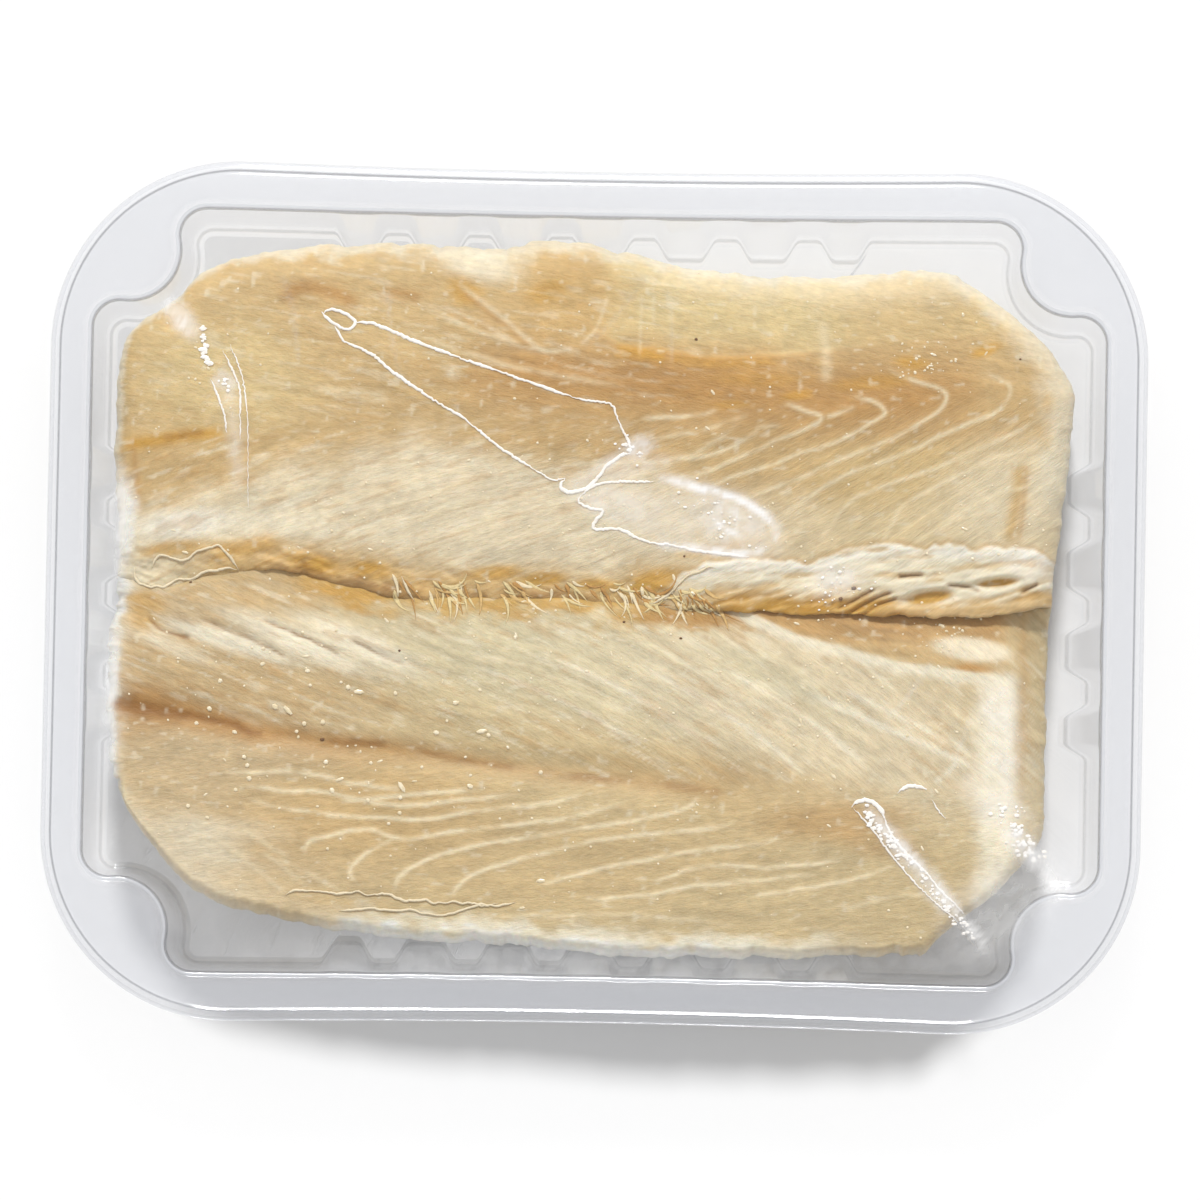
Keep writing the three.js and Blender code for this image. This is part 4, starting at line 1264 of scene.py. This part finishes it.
def make_fringe(ground, material):
    """Torn fibres that hang in clumps from the upper fillet over the seam."""
    rng = np.random.default_rng(4)
    fringe = Joined()
    share = np.linspace(0, 1, 11)
    for _ in range(FRINGE_CLUMPS):
        centre, lean = rng.uniform(*FRINGE_SPAN), rng.normal(-0.95, 0.2)
        for _ in range(rng.integers(2, 6)):
            x = centre + rng.normal(0, 1.3)
            length = rng.uniform(*FRINGE_LENGTH)
            turn = lean + rng.normal(0, 0.15) + rng.normal(0.35, 0.9) * share
            flat = np.cumsum(np.column_stack([np.cos(turn), np.sin(turn)]), 0) * length / len(share)
            flat = flat + (x, line_at(SEAM, x) + rng.uniform(0.3, 4))
            taper = np.clip(np.minimum(share * 6 + 0.15, (1 - share) * 1.3 + 0.1), 0, 1)
            path = ground.path(flat, 0.02 + 0.1 * np.sin(share * math.pi) * rng.uniform(0, 1))
            tone = (LINE, STRAW, STRAW, HONEY, BROWN)[rng.integers(5)]
            fringe.add(*tube(path, rng.uniform(0.18, 0.5) * taper, 0.1 * taper), tone)
    return fringe.piece("torn_fibres", material, "cod_flesh")


CURLS = [
    [(-95.2, 4.1), (-94.8, 2.1), (-91.9, 0.1), (-87.8, 1), (-81.5, 3.1), (-79.1, 3.6), (-76.6, 4.4),
     (-73.6, 4.1)],
    [(-91.7, 4.2), (-90.1, 7.1), (-86.7, 5.9), (-84, 6.4), (-78.3, 9.1), (-73.6, 4.1)],
    [(-39.9, 3.6), (-38.6, 0.8), (-37, -1.6)],
    [(11.5, -1.2), (15, 0.6), (19, 4.4), (22.5, 6), (25, 6)],
    [(-62.6, -63.1), (-59.6, -61.8), (-49.4, -62.1), (-41.2, -62.3), (-38.1, -63.3), (-22.8, -64.1),
     (-15.1, -63.5)],
    [(-51.4, -66), (-43.2, -65.2), (-30.9, -66.2), (-24.8, -64.9), (-18.7, -64)],
]


def make_curls(ground, material):
    """Thin edges of membrane that stand up as pale curled lines."""
    curls = Joined()
    for number, points in enumerate(CURLS):
        flat = even_places(points, CURL_STEP)
        run = np.arange(len(flat))
        flat[:, 1] += 0.5 * cloud(run * CURL_STEP, number, 3, 93)
        width = 0.24 + 0.12 * noise(run * CURL_STEP, number, 3, 92)
        ends = thin_ends(run, 4, 0.2)
        curls.add(*tube(ground.path(flat, 0.15), width * ends, 0.25 * ends), CREAM)
    return curls.piece("membrane_curls", material, "cod_flesh")


def grain_shape(rng, size, stretch):
    """A small uneven crystal."""
    turn = np.arange(6) * math.pi / 3 + rng.uniform(0, 1)
    rings = []
    for share, height in ((0.62, -0.5), (1.0, -0.1), (0.95, 0.25), (0.5, 0.5)):
        radius = size * 0.5 * share * rng.uniform(0.8, 1.15, 6)
        flat = np.column_stack([radius * np.cos(turn) * stretch, radius * np.sin(turn)])
        rings.append(np.column_stack([flat, np.full(6, height * size * 0.8)]))
    return loft(rings)


SALT_CLUSTERS = [
    ((65.5, 50), 2.6, 26), ((72, 51), 4, 16), ((-80, 47), 5, 16), ((73, -6.5), 3.5, 26),
    ((87, 14), 4, 16), ((45, -20), 10, 30), ((-60, 2), 14, 26), ((-6, -5), 18, 46),
    ((40, -53), 18, 30), ((-20, -10), 22, 40), ((50, 4), 14, 26),
]


def make_salt(ground, material):
    """Salt grains over both fillets, thicker on the left of the lower one and in a few clusters."""
    rng = np.random.default_rng(5)
    grains = Joined()
    wanted = []
    for _ in range(SCATTERED_SALT):
        x, y = rng.uniform(-96, 90), rng.uniform(-68, 68)
        chance = 0.3 + 0.7 * math.exp(-((x + 58) / 36) ** 2 - ((y + 30) / 24) ** 2)
        if rng.uniform() < chance:
            wanted.append((x, y, rng.uniform(0.22, 0.6)))
    for centre, spread, count in SALT_CLUSTERS:
        wanted.extend((*rng.normal(centre, spread, 2), rng.uniform(0.25, 0.65)) for _ in range(count))
    for _ in range(LARGE_SALT):
        wanted.append((*rng.normal((-58, -34), (18, 12), 2), rng.uniform(0.7, 1.15)))
    for x, y, size in wanted:
        z = ground.height(x, y)
        if z < LOWEST_SALT:
            continue
        stretch = rng.choice([1.0, 1.3, 2.6], p=[0.6, 0.3, 0.1])
        points, faces = grain_shape(rng, size, stretch)
        turn = rng.normal(-0.4, 0.6)
        sine, cosine = math.sin(turn), math.cos(turn)
        spin = np.array([[cosine, sine, 0], [-sine, cosine, 0], [0, 0, 1]])
        grains.add(points @ spin * (1, 1, 0.6) + (x, y, z + 0.05 * size), faces, LINE * 0.94)
    return grains.piece("salt_grains", material, "cod_flesh", False)


SPECKS = [
    (-83.5, 1.4, 0.35), (-55.6, -30.6, 0.5), (20, 53.6, 0.4), (53.5, 2.6, 0.6), (50.8, 0.4, 0.5),
    (-40, -12, 0.3), (6.2, -5.2, 0.35), (18, -8.4, 0.35), (18.4, 8.6, 0.3), (87, 50.6, 0.3),
]


def make_specks(ground, material):
    """A few small dark specks."""
    rng = np.random.default_rng(7)
    specks = Joined()
    for x, y, size in SPECKS:
        points, faces = grain_shape(rng, size * 1.6, 1.2)
        specks.add(points * (1, 1, 0.5) + (x, y, ground.height(x, y)), faces, DEEP)
    return specks.piece("dark_specks", material, "cod_flesh")


# Film

def film_height(x, y):
    inside = np.minimum(HALF_OPENING_X - np.abs(x), HALF_OPENING_Y - OPENING_BOW - np.abs(y))
    from_lug = np.hypot(np.abs(x) - LUG[0], np.abs(y) - LUG[1]) - LUG_RADIUS
    rise = smooth(0, FILM_REACH, inside) * smooth(0, FILM_REACH, from_lug)
    return TRAY_HEIGHT + FILM_LIFT + (FILM_RISE + 0.12 * cloud(x, y, 30, 81)) * rise


# Thin white lines where the film clings round pockets of air, partly painted highlights: a half width and the
# line.
AIR_AND_HIGHLIGHT_LINES = [
    (0.27, [(-50.5, 55.8), (-46.3, 55.5), (-38.5, 52.3), (-28.6, 48.8), (-19.5, 45.8), (-5.3, 41.1),
            (2.4, 39.8), (3.8, 37.4), (5.3, 34.2), (6.6, 31.8), (6.8, 29.7)]),
    (0.25, [(-52.9, 51.9), (-46.9, 49.2), (-42.6, 45.7), (-33.4, 39.6), (-28.4, 36.8), (-24.9, 34.1),
            (-20.6, 30.7), (-12.8, 25.9), (-9.3, 24), (-6.5, 24.2)]),
    (0.22, [(-54.8, 55), (-54, 53.6), (-52.9, 51.9), (-51.7, 51.5)]),
    (0.24, [(-57.5, 57.6), (-55.5, 58.5), (-52.3, 57.5), (-50.5, 55.8), (-51.9, 54.4), (-54, 55),
            (-56.5, 56.7), (-57.5, 57.9)]),
    (0.27, [(-6.5, 24.2), (-7.5, 22.5), (-5.7, 21.4), (-2.2, 22.2), (-0.1, 24), (1.9, 26.8), (4.7, 29),
            (6.8, 29.7)]),
    (0.2, [(-3.2, 20.8), (-0.1, 22.9), (4.8, 23.7), (11.6, 23.8)]),
    (0.27, [(-3.2, 20.8), (-3.6, 19.4), (-1.5, 18.3), (1.4, 17.7), (-0.3, 15.2), (0, 13.8), (4.9, 13.9),
            (8.5, 12.2), (11.9, 11.2), (16.1, 10.8), (20.3, 9.9), (25.9, 9.3), (31.6, 8.6)]),
    (0.42, [(53.8, -42.5), (54.8, -41.6), (56.6, -41), (58.3, -41.7), (59.9, -43.1), (60.5, -44.6)]),
    (0.4, [(63.2, -39.5), (65, -38.2), (67.4, -38), (69.2, -38.7)]),
    (0.2, [(70.3, -40.8), (71.7, -42.9), (73.3, -44.6)]),
    (0.17, [(54.2, -42.8), (58.4, -47.3), (62, -52.1), (66.3, -57), (71.3, -61.8), (76.3, -65.9),
            (80.2, -70.4)]),
    (0.2, [(60.5, -44.1), (61.6, -47.2), (64.8, -51.4), (69.1, -55.5), (72.7, -59.7), (77.7, -64.5),
           (80.7, -69.7)]),
    (0.16, [(-80.3, 43.7), (-78.7, 40.2), (-77.2, 36), (-76.6, 32.5)]),
    (0.16, [(-77.8, 49.4), (-75.6, 45.2), (-74.1, 41), (-73.9, 35.4), (-73.9, 31.2)]),
    (0.12, [(-76.4, 50.8), (-73.8, 44.5), (-72.5, 36.8), (-72.1, 28.4), (-71.9, 17)]),
]
# Painted glints on the film's creases, as small flat white flakes: a size, a count, a spread, and the start
# and end of the line they scatter along.
FOLD_GLINTS = [
    (0.7, 13, 0.22, (-82.1, 54.6), (-82, 49.5)), (0.75, 14, 0.25, (-82, 50.5), (-80.4, 45.8)),
    (0.6, 60, 0.7, (56.5, -43.4), (66, -54)), (0.5, 50, 0.6, (66, -54), (79.5, -68.8)),
    (0.6, 60, 1.2, (85, -42), (92, -53)), (0.5, 16, 0.9, (5.2, 33), (8.5, 29)),
    (0.4, 30, 2.0, (18, 21), (35, 11.5)), (0.55, 8, 0.5, (-77.6, 43.4), (-76.8, 41)),
    (0.4, 26, 2.4, (45, 2), (56, 5.5)),
]
# Milky spots of the film, most of them painted glare: a strength, a half size, a centre and a slant. The two
# by the lower corners paint light over the shaded pockets there.
VEIL_AND_GLARE_SPOTS = [
    (0.55, (3.6, 2.4), (8.2, 30.4), 0.4), (0.25, (9, 2.2), (6, 26), 0.3), (0.35, (9, 3.5), (4, 19), -0.3),
    (0.7, (4.6, 2.2), (-86.4, 56), -1.2), (0.5, (2.4, 1.9), (-77.2, 42.6), -0.6),
    (0.75, (5.6, 2.8), (89.5, -50.5), -1.2),
    (0.42, (9.5, 5.4), (28, 15.2), -0.5), (0.24, (12, 5.6), (13.5, 16.8), -0.25),
    (0.3, (9, 4), (84, -42), -0.7), (0.4, (5, 3), (50, 4), 0.3),
    (0.25, (5, 3), (89, 8), -0.2), (0.3, (13, 8), (84, -64), 0.9), (0.1, (18, 9), (-88, -62), -0.8),
]
# Milky bands of the film, most of them painted glare and highlights along creases and the fish's edges: a
# strength, a half width and a line. The long faint one along the near side paints light over the shaded
# pockets there.
VEIL_AND_GLARE_BANDS = [
    (0.5, 1.3, [(58.5, -45), (64, -52), (71, -60.3), (77, -66.5)]), (0.5, 1.0, [(77, -66), (80.8, -70.6)]),
    (0.7, 2.0, [(86.5, -46), (89, -50), (92.3, -53)]), (0.45, 0.8, [(92, -53), (94.5, -58), (96.4, -62)]),
    (0.4, 3.6, [(84, -14), (84.5, -30), (86, -44)]),
    (0.24, 3.5, [(-84, -74.5), (-40, -75.5), (0, -76), (40, -76), (88, -73)]),
    (0.55, 1.4, [(-98.3, 26), (-98, 12), (-98.4, 0)]), (0.5, 1.5, [(-98.8, -8), (-99.6, -22), (-98.6, -39)]),
    (0.95, 1.1, [(11.8, 24.2), (16, 24), (21.1, 22.6), (27.5, 20.9), (32.8, 18.5), (37.1, 14.7), (36.5, 11)]),
    (0.6, 2.4, [(22, 21), (28, 18.2), (33, 15)]), (0.8, 1.2, [(23.5, 16.2), (27.6, 13.8), (32, 12)]),
    (0.85, 1.0, [(12, 11), (20, 10.2), (26, 9.6), (31.6, 9.2), (36.5, 11)]),
    (0.45, 1.5, [(-5, 22), (0, 25.4), (6, 29.6)]),
    (0.75, 1.5, [(57, -42.6), (63, -49.6), (70, -57), (79.5, -68.4), (84, -73)]),
    (0.6, 1.6, [(86, -44), (89.5, -50), (92.9, -53), (94.7, -56.5), (97, -62.5)]),
    (0.3, 1.6, [(-78.4, 47), (-76, 39), (-74.6, 31), (-73.6, 20)]),
    (0.16, 0.5, [(-66, 66), (-63, 56), (-62, 46)]), (0.16, 0.4, [(-44, 64), (-43, 54), (-41, 44)]),
    (0.14, 0.4, [(14, 64), (15, 56), (15, 48)]), (0.14, 0.4, [(8, 64), (2, 56), (-4, 51)]),
    (0.14, 0.6, [(70, -12), (66, -18), (60, -26)]), (0.14, 0.5, [(84, -12), (78, -24), (73, -38)]),
]


def film_veil_and_glare(x, y):
    """How milky the film is, over pockets of air and along its creases; much of it is painted glare and
    highlights, and the faint band and spots by the near wall and its corners paint light over the shaded
    pockets there.
    """
    total = 0.004 + np.zeros(x.shape)
    patchy = 0.62 + 0.38 * smooth(-0.4, 0.3, cloud(x, y, 1.8, 82))
    for strength, half, centre, lean in VEIL_AND_GLARE_SPOTS:
        total = np.maximum(total, strength * patchy * spot(x, y, centre, half, lean, 0.6))
    uneven = cloud(x, y, 3, 84)
    for strength, half_width, points in VEIL_AND_GLARE_BANDS:
        band = stroke(x + 0.35 * half_width * uneven, y, points, half_width, 0.3)
        total = np.maximum(total, strength * patchy * band)
    return total


def film_grid():
    """Places over the film's outline, a rectangle with round corners, row by row."""
    half_x, half_y = HALF_LENGTH - FILM_INSET, HALF_WIDTH - FILM_INSET
    radius = CORNER_RADIUS - FILM_INSET
    angles = np.linspace(0, math.pi / 2, FILM_CORNER_ROWS + 1)[1:]
    upper = half_y - radius + radius * np.sin(angles)
    widths = half_x - radius + radius * np.cos(angles)
    middle = np.linspace(-(half_y - radius), half_y - radius, FILM_STRAIGHT_ROWS)
    rows = np.concatenate([-upper[::-1], middle, upper])
    half_rows = np.concatenate([widths[::-1], np.full(FILM_STRAIGHT_ROWS, half_x), widths])
    x = np.linspace(-1, 1, FILM_COLUMNS)[None, :] * half_rows[:, None]
    y = np.repeat(rows[:, None], FILM_COLUMNS, 1)
    share = np.minimum(np.abs(x) / STRAIGHT_X, 1)
    return x, y * (1 - OUTER_BOW * (1 - share ** 2) / half_y)


def make_film(material):
    x, y = film_grid()
    points = np.column_stack([x.ravel(), y.ravel(), film_height(x, y).ravel()])
    # The film's milkiness, with painted glare, highlights and some painted light in it.
    values = {"veil": film_veil_and_glare(x, y)}
    film = make_piece("clear_film", points, grid_faces(*x.shape), material, values=values)
    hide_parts("film")


def make_film_lines_and_glints(ground, material):
    """Where the film clings to the fish round pockets of air, it shows as thin white lines, which are partly
    painted highlights. White flakes along the creases are painted glints.
    """
    rng = np.random.default_rng(6)
    lines = Joined()
    for number, (half_width, points) in enumerate(AIR_AND_HIGHLIGHT_LINES):
        flat = even_places(points, AIR_LINE_STEP)
        flat = flat + rng.normal(0, 0.07, flat.shape)
        run = np.arange(len(flat))
        width = half_width * (1 + 0.5 * cloud(run * AIR_LINE_STEP, number, 4, 91))
        ends = thin_ends(run, 3, 0.3)
        lines.add(*tube(ground.path(flat, 0.12), width * ends, 0.16 * ends), PALE)
    for size, count, spread, start, end in FOLD_GLINTS:
        for share in rng.uniform(0, 1, count):
            x, y = np.array(start) * (1 - share) + np.array(end) * share + rng.normal(0, spread, 2)
            points, faces = grain_shape(rng, size * rng.uniform(0.6, 1.5), rng.uniform(1, 1.8))
            lines.add(points * (1, 1, 0.3) + (x, y, max(ground.height(x, y), 24) + 0.2), faces, WHITE)
    return lines.piece("air_lines_and_glints", material, "lid_film", False)


# Scene

def studio():
    """Pale floor, soft light from high on the far side, and even white light from all round."""
    bpy.ops.mesh.primitive_plane_add(size=FLOOR_SIZE * MM, location=(0, 0, 0))
    floor = bpy.context.object
    floor.name = "floor"
    s = Shader("floor")
    inputs = {"Base Color": (0.92, 0.92, 0.92, 1), "Roughness": 0.8}
    floor.data.materials.append(s.finish(s.add("BsdfPrincipled", inputs).outputs[0]))
    key = bpy.data.objects.new("key", bpy.data.lights.new("key", "SUN"))
    key.data.energy, key.data.angle = KEY_STRENGTH, math.radians(KEY_SIZE)
    key.rotation_euler = (math.radians(-KEY_TILT), 0, 0)
    bpy.context.scene.collection.objects.link(key)
    world = bpy.data.worlds.new("surroundings")
    world.use_nodes = True
    world.node_tree.nodes["Background"].inputs["Color"].default_value = (1, 1, 1, 1)
    world.node_tree.nodes["Background"].inputs["Strength"].default_value = SURROUNDINGS
    bpy.context.scene.world = world
    settings = bpy.context.scene.view_settings
    settings.view_transform, settings.look = "Standard", "None"
    settings.exposure, settings.gamma = 0, 1
    bounces = {"transparent_max_bounces": 24, "max_bounces": 5, "diffuse_bounces": 2, "glossy_bounces": 3}
    for name, count in bounces.items():
        setattr(bpy.context.scene.cycles, name, count)


def camera():
    """Looks down at the tray, a little from the near side and rolled as the photo is."""
    towards = Vector((math.tan(math.radians(TILT_X)), -math.tan(math.radians(TILT_Y)), 1)).normalized()
    right = Vector((0, 1, 0)).cross(towards).normalized()
    up = towards.cross(right)
    roll = math.radians(ROLL)
    turned_right = right * math.cos(roll) + up * math.sin(roll)
    turned_up = up * math.cos(roll) - right * math.sin(roll)
    data = bpy.data.cameras.new("camera")
    data.lens, data.sensor_width = LENS, SENSOR
    data.clip_start, data.clip_end = CLIP[0] * MM, CLIP[1] * MM
    view = bpy.data.objects.new("camera", data)
    turn = Matrix((turned_right, turned_up, towards)).transposed()
    view.matrix_world = Matrix.Translation((Vector(TARGET) + towards * DISTANCE) * MM) @ turn.to_4x4()
    bpy.context.scene.collection.objects.link(view)
    bpy.context.scene.camera = view


for thing in list(bpy.data.objects):
    bpy.data.objects.remove(thing)
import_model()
studio()
camera()
flesh = cod_flesh("cod_flesh", LIGHT_INTO_FLESH, True)
thin_flesh = cod_flesh("thin_flesh", 0.0, False)
make_tray(tray_plastic())
fillets = [make_fillet("fillet_far", "fillet_upper", UPPER, flesh)]
fillets.append(make_fillet("fillet_near", "fillet_lower", LOWER, flesh))
fish = Ground(fillets)
make_fringe(fish, thin_flesh)
make_curls(fish, thin_flesh)
salt = grained("salt_crystal", 1400, srgb(226, 208, 168), srgb(246, 234, 206), 0.3, 1.54)
make_salt(fish, salt)
dark = grained("dark_speck", 900, srgb(90, 62, 34), srgb(120, 84, 46), 0.5, 1.4)
make_specks(fish, dark)
make_film(lid_film())
# White of the film's air lines, partly painted highlights, and of its painted glints.
white_and_glint = grained("film_white_and_glint", 900, srgb(250, 243, 232), srgb(255, 253, 250), 0.3, 1.45, CREASE_RELIEF)
make_film_lines_and_glints(fish, white_and_glint)
